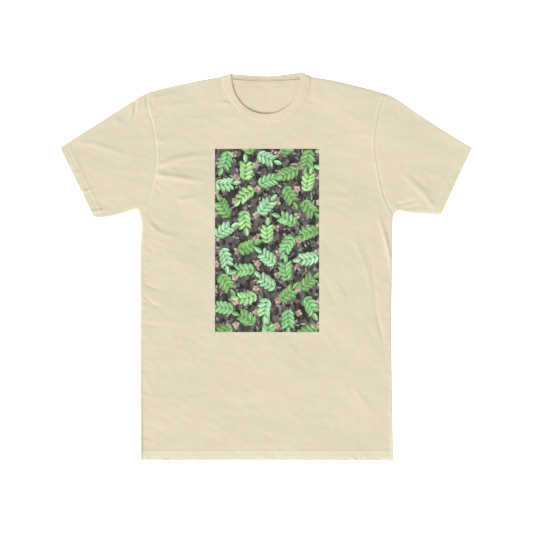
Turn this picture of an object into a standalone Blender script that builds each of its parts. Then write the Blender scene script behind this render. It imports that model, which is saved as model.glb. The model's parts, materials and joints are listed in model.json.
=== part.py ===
"""A short-sleeved crew-neck T-shirt, laid flat on its back with a printed panel on the chest.

Metres, +Z up. The shirt lies on z = 0 with its front facing up, its neck towards +Y and its hem towards -Y.
The origin is on that surface, under the middle of the shirt's box. Left and right are the wearer's.
"""

import math

import bmesh
import bpy
from mathutils import Vector
from mathutils.geometry import delaunay_2d_cdt, intersect_point_line

# The cloth
CLOTH = 0.0007  # one layer of jersey
GAP = 0.0003  # between two sewn pieces
HEM_DEPTH = 0.019  # the body hem and both sleeve hems, turned in once
HEM_STEP = 0.001  # the length over which a hem's second layer ends

# How the shirt lies: two layers with air between them, joined by soft rolled edges
TOP_HEIGHT = 0.009  # outer face of the front layer above the table
SEAM_HEIGHT = TOP_HEIGHT / 2  # where the front and the back layer meet at the edge
EDGE_ROLL = 0.009  # how far in from the edge the layers reach their full spacing
EDGE_RIM = 0.00075  # half height of the upright face at the very edge
EDGE_RINGS = (CLOTH, 0.0032, EDGE_ROLL)  # distances from the edge that get a row of points

# The outline, seen from above: x to the right, y towards the neck
HEM_Y = -0.3680
NECK_POINT_Y = 0.3606  # where collar and shoulder seam meet
NECK_HALF_WIDTH = 0.0855  # at the seam between rib and jersey
FRONT_NECK_DEPTH = 0.0900
BACK_NECK_DEPTH = 0.0068
NECK_ROUNDNESS = 2.1  # exponent of the front neck curve; 2 is an ellipse

# Each side runs from the collar along the shoulder, down the sleeve and back to the hem
RIGHT = {
    "shoulder": [(-0.0855, 0.3606), (-0.1290, 0.3530), (-0.1900, 0.3395), (-0.2261, 0.3304)],
    "sleeve_top": [(-0.2261, 0.3304), (-0.2508, 0.3160), (-0.3154, 0.2750), (-0.3914, 0.2265)],
    "opening": [(-0.3914, 0.2265), (-0.3275, 0.0940)],
    "underarm": [(-0.3275, 0.0940), (-0.3200, 0.0920), (-0.2960, 0.0945), (-0.2660, 0.1025),
                 (-0.2480, 0.1085)],
    "armpit": [(-0.2480, 0.1085), (-0.2440, 0.1060), (-0.2405, 0.0975)],
    "side": [(-0.2405, 0.0975), (-0.2378, 0.0750), (-0.2394, 0.0300), (-0.2394, -0.2000), (-0.2384, HEM_Y)],
    "armhole": [(-0.2261, 0.3304), (-0.2225, 0.2950), (-0.2134, 0.2637), (-0.2080, 0.2280), (-0.2076, 0.1950),
                (-0.2105, 0.1680), (-0.2195, 0.1350), (-0.2290, 0.1140), (-0.2405, 0.0975)],
}
LEFT = {
    "shoulder": [(0.0855, 0.3606), (0.1290, 0.3535), (0.1900, 0.3392), (0.2280, 0.3285)],
    "sleeve_top": [(0.2280, 0.3285), (0.2470, 0.3196), (0.2926, 0.2879), (0.3458, 0.2537), (0.3914, 0.2257)],
    "opening": [(0.3914, 0.2257), (0.3325, 0.0990)],
    "underarm": [(0.3325, 0.0990), (0.3268, 0.0972), (0.3078, 0.0982), (0.2774, 0.1008), (0.2555, 0.1052)],
    "armpit": [(0.2555, 0.1052), (0.2480, 0.1042), (0.2420, 0.0970)],
    "side": [(0.2420, 0.0970), (0.2405, 0.0750), (0.2403, 0.0200), (0.2390, -0.1400), (0.2420, HEM_Y)],
    "armhole": [(0.2280, 0.3285), (0.2175, 0.3010), (0.2125, 0.2766), (0.2081, 0.2504), (0.2069, 0.2219),
                (0.2111, 0.1957), (0.2165, 0.1650), (0.2250, 0.1307), (0.2343, 0.1106), (0.2420, 0.0970)],
}

# The ribbed collar
RIB_CLOTH = 0.0014  # rib folded double
COLLAR_HALF_WIDTH = 0.0655  # of the opening inside the collar's free edge
COLLAR_CENTRE_Y = 0.3645
COLLAR_DEPTH = 0.0745
COLLAR_BACK_Y = 0.3625  # the free edge at the middle of the back
COLLAR_WAVE = 0.01575  # how strongly the back of the free edge rises before the shoulders
COLLAR_FRONT_HEIGHT = TOP_HEIGHT + 0.0008
COLLAR_BACK_HEIGHT = 0.0130
COLLAR_SEGMENTS = 72
COLLAR_ROWS = 4

# The tape sewn over the back neck seam, on the inside
TAPE_HALF_LENGTH = 0.066
TAPE_WIDTH = 0.0100
TAPE_THICKNESS = 0.0006
TAPE_BELOW_SEAM = 0.0020
TAPE_SEGMENTS = 12

# The printed panel
PRINT_WIDTH = 0.1976
PRINT_HEIGHT = 0.3477
PRINT_CENTRE = (0.0019, 0.0494)
INK = 0.0003

# Spacing of the points of each surface
EDGE_SPACING = 0.026
CURVE_SPACING = 0.016
NECK_SPACING = 0.008
ARMPIT_SPACING = 0.005
GRID_SPACING = 0.044
GRID_CLEARANCE = GRID_SPACING / 3  # between the grid and every other row of points


def clear_scene():
    """Removes every object of the scene that Blender opened with."""
    for thing in list(bpy.data.objects):
        bpy.data.objects.remove(thing)


def material(name, colour, roughness):
    """A cloth finish: a Principled surface of one colour."""
    made = bpy.data.materials.new(name)
    made.use_nodes = True
    surface = made.node_tree.nodes["Principled BSDF"]
    surface.inputs["Base Color"].default_value = (*colour, 1.0)
    surface.inputs["Roughness"].default_value = roughness
    surface.inputs["Metallic"].default_value = 0.0
    return made


def add_object(name, mesh, finish):
    """Links a mesh to the scene as one named piece with its finish."""
    thing = bpy.data.objects.new(name, mesh)
    mesh.materials.append(finish)
    bpy.context.scene.collection.objects.link(thing)
    return thing


def spline(points, spacing):
    """A smooth curve through the points, as points about one spacing apart."""
    p = [Vector(q) for q in points]
    p = [2 * p[0] - p[1], *p, 2 * p[-1] - p[-2]]
    fine = []
    for a, b, c, d in zip(p, p[1:], p[2:], p[3:]):
        for i in range(16):
            t = i / 16
            fine.append(0.5 * (2 * b + (c - a) * t + (2 * a - 5 * b + 4 * c - d) * t * t
                               + (3 * b - a - 3 * c + d) * t ** 3))
    fine.append(Vector(points[-1]))
    return even(fine, spacing)


def even(line, spacing):
    """The same line with points evenly spaced along it, both ends kept."""
    lengths = [0.0]
    for a, b in zip(line, line[1:]):
        lengths.append(lengths[-1] + (b - a).length)
    count = max(1, round(lengths[-1] / spacing))
    return [point_at(line, lengths, lengths[-1] * i / count) for i in range(count + 1)]


def point_at(line, lengths, along):
    """The point of a line at a distance along it."""
    for i in range(len(line) - 1):
        if along <= lengths[i + 1]:
            step = lengths[i + 1] - lengths[i]
            return line[i].lerp(line[i + 1], (along - lengths[i]) / step)
    return line[-1].copy()


def finer_ends(line):
    """Adds points near both ends of a line, where it crosses the rolled edge."""
    lengths = [0.0]
    for a, b in zip(line, line[1:]):
        lengths.append(lengths[-1] + (b - a).length)
    start = [point_at(line, lengths, r) for r in EDGE_RINGS]
    end = [point_at(line, lengths, lengths[-1] - r) for r in reversed(EDGE_RINGS)]
    middle = [p for p, s in zip(line, lengths)
              if EDGE_ROLL * 1.5 < s < lengths[-1] - EDGE_ROLL * 1.5]
    return [line[0], *start, *middle, *end, line[-1]]


def shifted(line, distance):
    """The line moved sideways, to its left when distance is positive."""
    moved = []
    for i, p in enumerate(line):
        along = (line[min(i + 1, len(line) - 1)] - line[max(i - 1, 0)]).normalized()
        moved.append(p + distance * Vector((-along.y, along.x)))
    return moved


def front_neck(half_width, depth, centre_y, turn):
    """A point of the front neck curve: turn 0 is the right end, 1 the left end."""
    angle = math.pi * (1 + turn)
    across, down = math.cos(angle), -math.sin(angle)
    power = 2 / NECK_ROUNDNESS
    x = half_width * math.copysign(abs(across) ** power, across)
    return Vector((x, centre_y - depth * abs(down) ** power))


def back_neck(turn):
    """A point of the back neck seam: turn 0 is the left end, 1 the right end."""
    across = math.cos(math.pi * turn)
    dip = BACK_NECK_DEPTH * (1 - across ** 2)
    return Vector((NECK_HALF_WIDTH * across, NECK_POINT_Y - dip))


def neck_line(point_of_turn):
    """One neck curve as evenly spaced points."""
    return even([point_of_turn(i / 200) for i in range(201)], NECK_SPACING)


def side_lines(side):
    """All the curves of one side of the shirt."""
    spacings = {"opening": CURVE_SPACING, "armhole": CURVE_SPACING, "armpit": ARMPIT_SPACING}
    lines = {name: spline(points, spacings.get(name, EDGE_SPACING)) for name, points in side.items()}
    for name in ("opening", "armhole"):
        lines[name] = finer_ends(lines[name])
    return lines


def rolled_edges(sides):
    """The segments of the outline where the cloth rolls from the front to the back."""
    edges = []
    for lines in sides:
        for name in ("shoulder", "sleeve_top", "underarm", "armpit", "side"):
            edges += zip(lines[name], lines[name][1:])
    return edges


def off_segment(point, a, b):
    """How far a point lies from the segment between a and b."""
    share = min(1.0, max(0.0, intersect_point_line(point, a, b)[1]))
    return (point - a.lerp(b, share)).length


def distance_in(point, edges):
    """How far a point lies from the nearest rolled edge."""
    return min(off_segment(point, a, b) for a, b in edges)


def arch(distance, start):
    """A quarter round: 0 at the start distance, 1 once the edge roll is over."""
    share = min(1.0, max(0.0, (distance - start) / (EDGE_ROLL - start)))
    return math.sqrt(1 - (1 - share) ** 2)


def outer_offset(distance):
    """How far a layer's outer face is above or below the height of the edge seam."""
    return EDGE_RIM + (SEAM_HEIGHT - EDGE_RIM) * arch(distance, 0.0)


def inner_offset(distance, layers, rim):
    """The same for the layer's inner face, where it is one or two cloths thick."""
    full = SEAM_HEIGHT - layers * CLOTH
    return rim + (full - rim) * arch(distance, CLOTH)


def inside(point, polygon):
    """Whether a point lies in a polygon."""
    within = False
    for a, b in zip(polygon, polygon[1:] + polygon[:1]):
        if (a.y > point.y) != (b.y > point.y):
            if point.x < a.x + (b.x - a.x) * (point.y - a.y) / (b.y - a.y):
                within = not within
    return within


def clear_of(point, polygon, room):
    """Whether a point keeps a distance from the polygon's line."""
    return all(off_segment(point, a, b) > room for a, b in zip(polygon, polygon[1:] + polygon[:1]))


def surface_points(polygon, edges, extra_rows):
    """Points inside a piece: rows along the rolled edges, rows along its hem, and a grid."""
    points = []
    for a, b in edges:
        along = (b - a).normalized()
        for ring in EDGE_RINGS:
            for side in (1, -1):
                p = a.lerp(b, 0.5) + side * ring * Vector((-along.y, along.x))
                on_ring = abs(distance_in(p, edges) - ring) < CLOTH / 10
                if on_ring and inside(p, polygon) and clear_of(p, polygon, ring * 0.6):
                    points.append(p)
    points += [p for p in extra_rows if inside(p, polygon) and clear_of(p, polygon, CLOTH)]
    xs, ys = [p.x for p in polygon], [p.y for p in polygon]
    rows = round((max(ys) - min(ys)) / GRID_SPACING)
    columns = round((max(xs) - min(xs)) / GRID_SPACING)
    for i in range(rows):
        for j in range(columns):
            shift = 0.5 if i % 2 else 0.0
            x, y = min(xs) + (j + 0.25 + shift) * GRID_SPACING, min(ys) + (i + 0.5) * GRID_SPACING
            p = Vector((x, y))
            near_row = any((p - q).length < GRID_CLEARANCE for q in extra_rows)
            if inside(p, polygon) and clear_of(p, polygon, GRID_CLEARANCE) and not near_row:
                points.append(p)
    return points


def flat_mesh(polygon, edges, extra_rows=()):
    """A piece's flat cut as triangles: (points, triangles), each turned upwards."""
    count = len(polygon)
    points = polygon + surface_points(polygon, edges, list(extra_rows))
    border = [(i, (i + 1) % count) for i in range(count)]
    made = delaunay_2d_cdt(points, border, [], 1, 1e-7)
    flat, triangles = made[0], made[2]
    turned = []
    for a, b, c in triangles:
        up = (flat[b] - flat[a]).cross(flat[c] - flat[a]) > 0
        turned.append((a, b, c) if up else (a, c, b))
    return flat, turned


def border_of(triangles):
    """The directed edges that only one triangle uses."""
    used = set()
    for a, b, c in triangles:
        used.update(((a, b), (b, c), (c, a)))
    return [(a, b) for a, b in used if (b, a) not in used]


def sheet_solid(name, flat, triangles, top, bottom):
    """A closed sheet of cloth between two heights, given for each flat point."""
    shape = bmesh.new()
    upper = [shape.verts.new((p.x, p.y, z)) for p, z in zip(flat, top)]
    lower = [shape.verts.new((p.x, p.y, z)) for p, z in zip(flat, bottom)]
    for a, b, c in triangles:
        shape.faces.new((upper[a], upper[b], upper[c]))
        shape.faces.new((lower[c], lower[b], lower[a]))
    for a, b in border_of(triangles):
        shape.faces.new((upper[b], upper[a], lower[a], lower[b]))
    return finished_mesh(name, shape)


def tube_solid(name, flat, triangles, outer, inner, closed_within):
    """A flattened tube of cloth: a front and a back sheet that are one at the rolled edges."""
    shape = bmesh.new()
    level = {
        s: [shape.verts.new((p.x, p.y, SEAM_HEIGHT + s * o)) for p, o in zip(flat, outer)]
        for s in (1, -1)
    }
    joined = [
        shape.verts.new((p.x, p.y, SEAM_HEIGHT)) if shut else None
        for p, shut in zip(flat, closed_within)
    ]
    lining = {
        s: [j or shape.verts.new((p.x, p.y, SEAM_HEIGHT + s * i)) for p, i, j in zip(flat, inner, joined)]
        for s in (1, -1)
    }
    for a, b, c in triangles:
        shape.faces.new((level[1][a], level[1][b], level[1][c]))
        shape.faces.new((level[-1][c], level[-1][b], level[-1][a]))
        if not (closed_within[a] and closed_within[b] and closed_within[c]):
            shape.faces.new((lining[1][c], lining[1][b], lining[1][a]))
            shape.faces.new((lining[-1][a], lining[-1][b], lining[-1][c]))
    border = border_of(triangles)
    mouth = {p for a, b in border if not (closed_within[a] and closed_within[b]) for p in (a, b)}
    for a, b in border:
        if closed_within[a] and closed_within[b]:
            shape.faces.new((
                level[1][b], level[1][a], *([joined[a]] if a in mouth else []),
                level[-1][a], level[-1][b], *([joined[b]] if b in mouth else []),
            ))
            continue
        for s in (1, -1):
            wall = [level[s][b], level[s][a], lining[s][a], lining[s][b]]
            shape.faces.new(wall if s == 1 else wall[::-1])
    loose = [v for v in shape.verts if not v.link_faces]
    bmesh.ops.delete(shape, geom=loose, context="VERTS")
    return finished_mesh(name, shape)


def finished_mesh(name, shape):
    """Turns a bmesh into a triangulated mesh, shaded smooth with crisp rims."""
    bmesh.ops.triangulate(shape, faces=shape.faces)
    mesh = bpy.data.meshes.new(name)
    shape.to_mesh(mesh)
    shape.free()
    mesh.shade_smooth()
    mesh.set_sharp_from_angle(angle=math.radians(50))
    return mesh


def hem_layers(depth_in):
    """How many cloths thick a piece is at a distance from its hemmed edge."""
    return 1 + min(1.0, max(0.0, (HEM_DEPTH + HEM_STEP - depth_in) / HEM_STEP))


def torso_outline(sides, neck):
    """The outline of the front or the back of the body, clear of its neighbours."""
    right, left = sides
    sleeve_seams = shifted(right["armhole"], GAP / 2), shifted(left["armhole"], -GAP / 2)
    hem = finer_ends(even([left["side"][-1], right["side"][-1]], CURVE_SPACING))
    outline = [*hem, *reversed(right["side"][1:-1]), *reversed(sleeve_seams[0])]
    outline += [*reversed(right["shoulder"][1:-1]), *neck, *left["shoulder"][1:-1]]
    outline += [*sleeve_seams[1], *left["side"][1:-1]]
    return outline


def hem_rows(sides):
    """Points across the body where the hem's second layer ends."""
    right, left = (lines["side"][-1].x for lines in sides)
    count = round((left - right) / CURVE_SPACING)
    return [
        Vector((right + (left - right) * i / count, HEM_Y + depth))
        for depth in (HEM_DEPTH, HEM_DEPTH + HEM_STEP)
        for i in range(1, count)
    ]


def make_torso(sides, edges, finish):
    """The front and the back panel of the body, each with its neck cut and its hem."""
    front_seam = neck_line(lambda t: front_neck(NECK_HALF_WIDTH, FRONT_NECK_DEPTH, NECK_POINT_Y, t))
    back_seam = neck_line(back_neck)
    cuts = {
        "front_panel": (1, shifted(finer_ends(front_seam), -GAP)),
        "back_panel": (-1, shifted(finer_ends(back_seam[::-1]), -GAP)),
    }
    for name, (side, neck) in cuts.items():
        flat, triangles = flat_mesh(torso_outline(sides, neck), edges, hem_rows(sides))
        away = [distance_in(p, edges) for p in flat]
        outer = [SEAM_HEIGHT + side * outer_offset(d) for d in away]
        inner = [
            SEAM_HEIGHT + side * inner_offset(d, hem_layers(p.y - HEM_Y), GAP / 2)
            for d, p in zip(away, flat)
        ]
        top, bottom = (outer, inner) if side == 1 else (inner, outer)
        add_object(name, sheet_solid(name, flat, triangles, top, bottom), finish)


def opening_rows(opening):
    """Points across a sleeve where its hem's second layer ends."""
    along = (opening[-1] - opening[0]).normalized()
    inward = Vector((-along.y, along.x))
    if inward.x * opening[0].x > 0:
        inward = -inward
    rows = [p + inward * depth for depth in (HEM_DEPTH, HEM_DEPTH + HEM_STEP) for p in opening]
    return rows, opening[0], inward


def make_sleeve(name, lines, edges, finish, turn):
    """One sleeve: a short flattened tube from the armhole seam to its hemmed opening."""
    seam = shifted(lines["armhole"], -turn * GAP / 2)
    outline = [*lines["sleeve_top"][1:-1], *lines["opening"], *lines["underarm"][1:-1]]
    outline += [*lines["armpit"][:-1], *reversed(seam)]
    rows, corner, inward = opening_rows(lines["opening"])
    flat, triangles = flat_mesh(outline, edges, rows)
    away = [distance_in(p, edges) for p in flat]
    outer = [outer_offset(d) for d in away]
    inner = [inner_offset(d, hem_layers((p - corner).dot(inward)), 0.0) for d, p in zip(away, flat)]
    closed_within = [d < CLOTH * 1.05 for d in away]
    mesh = tube_solid(name, flat, triangles, outer, inner, closed_within)
    add_object(name, mesh, finish)


def collar_seam(front, turn, edges):
    """A point of the collar's seam, at the height of the layer that it is sewn to."""
    if front:
        seam = front_neck(NECK_HALF_WIDTH, FRONT_NECK_DEPTH, NECK_POINT_Y, turn)
    else:
        seam = back_neck(turn)
    away = distance_in(seam, edges)
    off_edge = min(1.0, 2 * math.sqrt(math.sin(math.pi * turn)))
    offset = off_edge * (outer_offset(away) + inner_offset(away, 1, 0.0)) / 2
    return Vector((*seam, SEAM_HEIGHT + (offset if front else RIB_CLOTH / 3 - offset)))


def collar_free_edge(front, turn):
    """A point of the collar's free edge, which stands highest at the back."""
    at_shoulder = (COLLAR_FRONT_HEIGHT + COLLAR_BACK_HEIGHT) / 2
    middle = COLLAR_FRONT_HEIGHT if front else COLLAR_BACK_HEIGHT
    height = at_shoulder + (middle - at_shoulder) * math.sin(math.pi * turn)
    if front:
        return Vector((*front_neck(COLLAR_HALF_WIDTH, COLLAR_DEPTH, COLLAR_CENTRE_Y, turn), height))
    across = math.cos(math.pi * turn)
    rise = (COLLAR_CENTRE_Y - COLLAR_BACK_Y + COLLAR_WAVE) * across ** 2 - COLLAR_WAVE * across ** 4
    return Vector((COLLAR_HALF_WIDTH * across, COLLAR_BACK_Y + rise, height))


def make_collar(edges, finish):
    """The ribbed collar: a folded band standing round the neck, open in the middle."""
    shape = bmesh.new()
    rings = []
    half = COLLAR_SEGMENTS // 2
    for i in range(COLLAR_SEGMENTS):
        front, turn = i < half, (i % half) / half
        seam, free = collar_seam(front, turn, edges), collar_free_edge(front, turn)
        rings.append([shape.verts.new(seam.lerp(free, j / COLLAR_ROWS)) for j in range(COLLAR_ROWS + 1)])
    for near, far in zip(rings, rings[1:] + rings[:1]):
        for j in range(COLLAR_ROWS):
            shape.faces.new((near[j], far[j], far[j + 1], near[j + 1]))
    mesh = finished_mesh("neck_rib", shape)
    band = add_object("neck_rib", mesh, finish)
    thick = band.modifiers.new("double rib", "SOLIDIFY")
    thick.thickness = RIB_CLOTH
    thick.offset = 0.0


def make_neck_tape(finish):
    """The tape inside the back of the neck, a thin curved strip just below the seam."""
    flat, triangles = [], []
    for i in range(TAPE_SEGMENTS + 1):
        x = TAPE_HALF_LENGTH * (2 * i / TAPE_SEGMENTS - 1)
        seam_y = back_neck(math.acos(x / NECK_HALF_WIDTH) / math.pi).y
        upper = seam_y - TAPE_BELOW_SEAM
        flat += [Vector((x, upper - TAPE_WIDTH)), Vector((x, upper))]
    for i in range(TAPE_SEGMENTS):
        a, b, c, d = 2 * i, 2 * i + 2, 2 * i + 3, 2 * i + 1
        triangles += [(a, b, c), (a, c, d)]
    low = CLOTH + GAP
    heights = [low + TAPE_THICKNESS] * len(flat), [low] * len(flat)
    add_object("neck_tape", sheet_solid("neck_tape", flat, triangles, *heights), finish)


def make_print(finish):
    """The printed panel, a film of ink on the front of the chest."""
    shape = bmesh.new()
    bmesh.ops.create_cube(shape, size=1.0)
    bmesh.ops.scale(shape, vec=(PRINT_WIDTH, PRINT_HEIGHT, INK), verts=shape.verts)
    middle = (*PRINT_CENTRE, TOP_HEIGHT + GAP + INK / 2)
    bmesh.ops.translate(shape, vec=middle, verts=shape.verts)
    add_object("chest_print", finished_mesh("chest_print", shape), finish)


def main():
    """Builds the whole shirt."""
    clear_scene()
    jersey = material("jersey", (0.78, 0.71, 0.53), 0.9)
    rib = material("rib_knit", (0.79, 0.72, 0.54), 0.9)
    tape = material("tape", (0.77, 0.70, 0.52), 0.85)
    ink = material("print_ink", (0.16, 0.27, 0.12), 0.8)
    sides = side_lines(RIGHT), side_lines(LEFT)
    edges = rolled_edges(sides)
    make_torso(sides, edges, jersey)
    make_sleeve("right_sleeve", sides[0], edges, jersey, 1)
    make_sleeve("left_sleeve", sides[1], edges, jersey, -1)
    make_collar(edges, rib)
    make_neck_tape(tape)
    make_print(ink)


main()
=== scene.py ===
# %% [markdown]
# # A cream T-shirt, laid flat on its back
#
# The real thing is cut from cotton jersey, a thin knit: a front, a back and two sleeves, with a ribbed
# collar, a tape over the back neck seam and a print on the chest. It lies on a white table with its front
# up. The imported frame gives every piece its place. The cells below make each piece again in fine cloth, at
# the same place and size, so that only the surface gets richer.

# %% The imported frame
import json
import math

import bpy
import numpy as np
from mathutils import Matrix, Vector
from mathutils.geometry import delaunay_2d_cdt
from mathutils.noise import noise as smooth_noise

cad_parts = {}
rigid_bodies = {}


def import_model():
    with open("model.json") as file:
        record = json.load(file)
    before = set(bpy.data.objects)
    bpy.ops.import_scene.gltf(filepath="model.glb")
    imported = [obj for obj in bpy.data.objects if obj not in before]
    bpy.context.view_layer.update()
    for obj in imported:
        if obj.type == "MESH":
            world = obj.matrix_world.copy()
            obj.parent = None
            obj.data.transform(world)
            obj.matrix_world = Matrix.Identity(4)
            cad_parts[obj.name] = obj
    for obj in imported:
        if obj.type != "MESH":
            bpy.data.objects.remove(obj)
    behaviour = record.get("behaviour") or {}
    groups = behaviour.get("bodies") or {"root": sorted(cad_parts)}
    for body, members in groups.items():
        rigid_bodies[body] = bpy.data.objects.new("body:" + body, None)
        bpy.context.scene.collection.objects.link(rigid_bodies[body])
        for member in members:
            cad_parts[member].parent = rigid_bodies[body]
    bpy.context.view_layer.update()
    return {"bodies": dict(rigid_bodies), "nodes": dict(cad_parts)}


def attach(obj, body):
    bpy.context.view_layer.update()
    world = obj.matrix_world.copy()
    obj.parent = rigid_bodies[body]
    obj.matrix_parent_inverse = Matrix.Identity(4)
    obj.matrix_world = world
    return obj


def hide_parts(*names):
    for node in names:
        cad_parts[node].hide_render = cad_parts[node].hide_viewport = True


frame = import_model()
print("nodes:", ", ".join(sorted(frame["nodes"])))

# %% [markdown]
# ## The photo's scale, and the camera
#
# The shirt was photographed from straight above, so one number ties photo and model together: how much of
# the shirt one pixel covers. The folds and the gathers are noted in pixels, where they were read, and
# turned into metres by one function. The camera hangs far up with a long lens, which keeps the view almost
# free of perspective.

# %% The photo's scale
PIXEL = 0.0019  # metres of shirt in one pixel of the photo
PHOTO_PIXELS = 533
ORIGIN_PX = (266.0, 266.5)  # where the frame's origin lies in the photo


def at(points_px):
    """Points of the photo as points of the shirt, in metres."""
    points_px = np.array(points_px, float)
    return np.column_stack([points_px[:, 0] - ORIGIN_PX[0], ORIGIN_PX[1] - points_px[:, 1]]) * PIXEL


print(f"the photo spans {PHOTO_PIXELS * PIXEL:.3f} m of table")

# %% The camera
CAMERA_HEIGHT = 4.0
SHARP_HEIGHT = 0.0045  # the plane that the scale holds for: the height of the shirt's outline
SENSOR = 36.0
scene = bpy.context.scene


def add_piece(name, data):
    """Links a new object. A mesh has its place in its points."""
    made = bpy.data.objects.new(name, data)
    scene.collection.objects.link(made)
    return made


camera_data = bpy.data.cameras.new("camera")
camera_data.sensor_width = SENSOR
camera_data.lens = SENSOR * (CAMERA_HEIGHT - SHARP_HEIGHT) / (PHOTO_PIXELS * PIXEL)
camera_data.clip_end = 20.0
camera = add_piece("camera", camera_data)
camera.location = (*at([(PHOTO_PIXELS / 2, PHOTO_PIXELS / 2)])[0], CAMERA_HEIGHT)
scene.camera = camera
print(f"camera {CAMERA_HEIGHT} m up with a {camera_data.lens:.0f} mm lens")

# %% [markdown]
# ## Light and table
#
# The photo has no shadow on its white ground and only faint ones on the cloth. The collar shades the inside
# of the neck at its lower left, so the light comes from there. The shadows are as strong at the hem as at
# the neck, so the lamp is far away: a sun lamp with a wide disc, as through a diffuser. An even sky fills
# the rest. The table glows, as a white ground in a studio does, which also lights the rolled edges of the
# cloth from below. The Standard view transform keeps white white.

# %% Light and table
LAMP_WIDTH = math.radians(38)
LAMP_STRENGTH = 2.62
LAMP_FROM = Vector((-0.60, -0.64, 0.86))
SKY_STRENGTH = 0.485
TABLE_GLOW = 1.7
TABLE_REACH = 3  # metres from the middle to its edges
TABLE_HEIGHT = -0.0003
WHITE = (1.0, 1.0, 1.0, 1.0)
TABLE_WHITE = (0.9, 0.9, 0.9, 1.0)


def set_sockets(node, values):
    """Sets plain values on a node's inputs."""
    for name, value in values.items():
        node.inputs[name].default_value = value


def new_material(name, values):
    """A material with plain values on its surface shader."""
    made = bpy.data.materials.new(name)
    made.use_nodes = True
    set_sockets(made.node_tree.nodes["Principled BSDF"], values)
    return made


scene.view_settings.view_transform = "Standard"
scene.world = bpy.data.worlds.new("even_sky")
scene.world.use_nodes = True
set_sockets(scene.world.node_tree.nodes["Background"], {"Color": WHITE, "Strength": SKY_STRENGTH})

lamp_data = bpy.data.lights.new("far_soft_lamp", "SUN")
lamp_data.angle = LAMP_WIDTH
lamp_data.energy = LAMP_STRENGTH
lamp = add_piece("far_soft_lamp", lamp_data)
lamp.location = 3 * LAMP_FROM
lamp.rotation_euler = LAMP_FROM.to_track_quat("Z", "Y").to_euler()

table_corners = [(TABLE_REACH * x, TABLE_REACH * y, 0) for x, y in ((-1, -1), (1, -1), (1, 1), (-1, 1))]
table_data = bpy.data.meshes.new("table")
table_data.from_pydata(table_corners, [], [(0, 1, 2, 3)])
table_data.materials.append(new_material("table_white", {
    "Base Color": TABLE_WHITE, "Roughness": 0.9, "Emission Color": WHITE, "Emission Strength": TABLE_GLOW,
}))
table = add_piece("table", table_data)
table.location.z = TABLE_HEIGHT
print("lamp", LAMP_STRENGTH, "and sky", SKY_STRENGTH)

# %% [markdown]
# ## The outline of the cut pieces
#
# Each side of the shirt is a loop of curves: shoulder, top of the sleeve, sleeve opening, underarm, armpit
# and side, with the armhole seam across it. A few landmarks a curve are enough, and a smooth curve runs
# through them. Left and right are the wearer's, and they differ a little, because real cloth never lies the
# same on both sides.

# %% Landmarks, in metres
HEM_Y = -0.3680
RIGHT = {
    "shoulder": [(-0.0855, 0.3606), (-0.1290, 0.3530), (-0.1900, 0.3395), (-0.2261, 0.3304)],
    "sleeve_top": [(-0.2261, 0.3304), (-0.2508, 0.3160), (-0.3154, 0.2750), (-0.3914, 0.2265)],
    "opening": [(-0.3914, 0.2265), (-0.3275, 0.0940)],
    "underarm": [(-0.3275, 0.0940), (-0.3200, 0.0920), (-0.2960, 0.0945), (-0.2660, 0.1025),
                 (-0.2480, 0.1085)],
    "armpit": [(-0.2480, 0.1085), (-0.2440, 0.1060), (-0.2405, 0.0975)],
    "side": [(-0.2405, 0.0975), (-0.2378, 0.0750), (-0.2394, 0.0300), (-0.2394, -0.2000), (-0.2384, HEM_Y)],
    "armhole": [(-0.2261, 0.3304), (-0.2225, 0.2950), (-0.2134, 0.2637), (-0.2080, 0.2280), (-0.2076, 0.1950),
                (-0.2105, 0.1680), (-0.2195, 0.1350), (-0.2290, 0.1140), (-0.2405, 0.0975)],
}
LEFT = {
    "shoulder": [(0.0855, 0.3606), (0.1290, 0.3535), (0.1900, 0.3392), (0.2280, 0.3285)],
    "sleeve_top": [(0.2280, 0.3285), (0.2470, 0.3196), (0.2926, 0.2879), (0.3458, 0.2537), (0.3914, 0.2257)],
    "opening": [(0.3914, 0.2257), (0.3325, 0.0990)],
    "underarm": [(0.3325, 0.0990), (0.3268, 0.0972), (0.3078, 0.0982), (0.2774, 0.1008), (0.2555, 0.1052)],
    "armpit": [(0.2555, 0.1052), (0.2480, 0.1042), (0.2420, 0.0970)],
    "side": [(0.2420, 0.0970), (0.2405, 0.0750), (0.2403, 0.0200), (0.2390, -0.1400), (0.2420, HEM_Y)],
    "armhole": [(0.2280, 0.3285), (0.2175, 0.3010), (0.2125, 0.2766), (0.2081, 0.2504), (0.2069, 0.2219),
                (0.2111, 0.1957), (0.2165, 0.1650), (0.2250, 0.1307), (0.2343, 0.1106), (0.2420, 0.0970)],
}
NECK_Y = 0.3606
NECK_HALF_WIDTH = 0.0855
FRONT_NECK_DEPTH = 0.0900
BACK_NECK_DEPTH = 0.0068
NECK_ROUNDNESS = 2.1  # 2 would be an ellipse
EDGE_SPACING = 0.0026


def distances_along(line):
    """How far along the line each of its points lies."""
    return np.concatenate([[0.0], np.cumsum(np.linalg.norm(np.diff(line, axis=0), axis=1))])


def spots_along(line, along, wanted):
    """The spots of a line at the wanted distances along it."""
    return np.column_stack([np.interp(wanted, along, line[:, k]) for k in range(line.shape[1])])


def even(line, spacing):
    """The same line with its points evenly spaced."""
    along = distances_along(line)
    count = max(1, round(along[-1] / spacing))
    return spots_along(line, along, np.linspace(0.0, along[-1], count + 1))


def smooth(points, spacing=EDGE_SPACING):
    """A smooth curve through a few points."""
    p = np.array(points, float)
    p = np.vstack([2 * p[0] - p[1], p, 2 * p[-1] - p[-2]])
    t = np.linspace(0, 1, 24, endpoint=False)[:, None]
    parts = [
        0.5 * (2 * b + (c - a) * t + (2 * a - 5 * b + 4 * c - d) * t ** 2 + (3 * b - a - 3 * c + d) * t ** 3)
        for a, b, c, d in zip(p, p[1:], p[2:], p[3:])
    ]
    return even(np.vstack([*parts, p[-2:-1]]), spacing)


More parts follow.
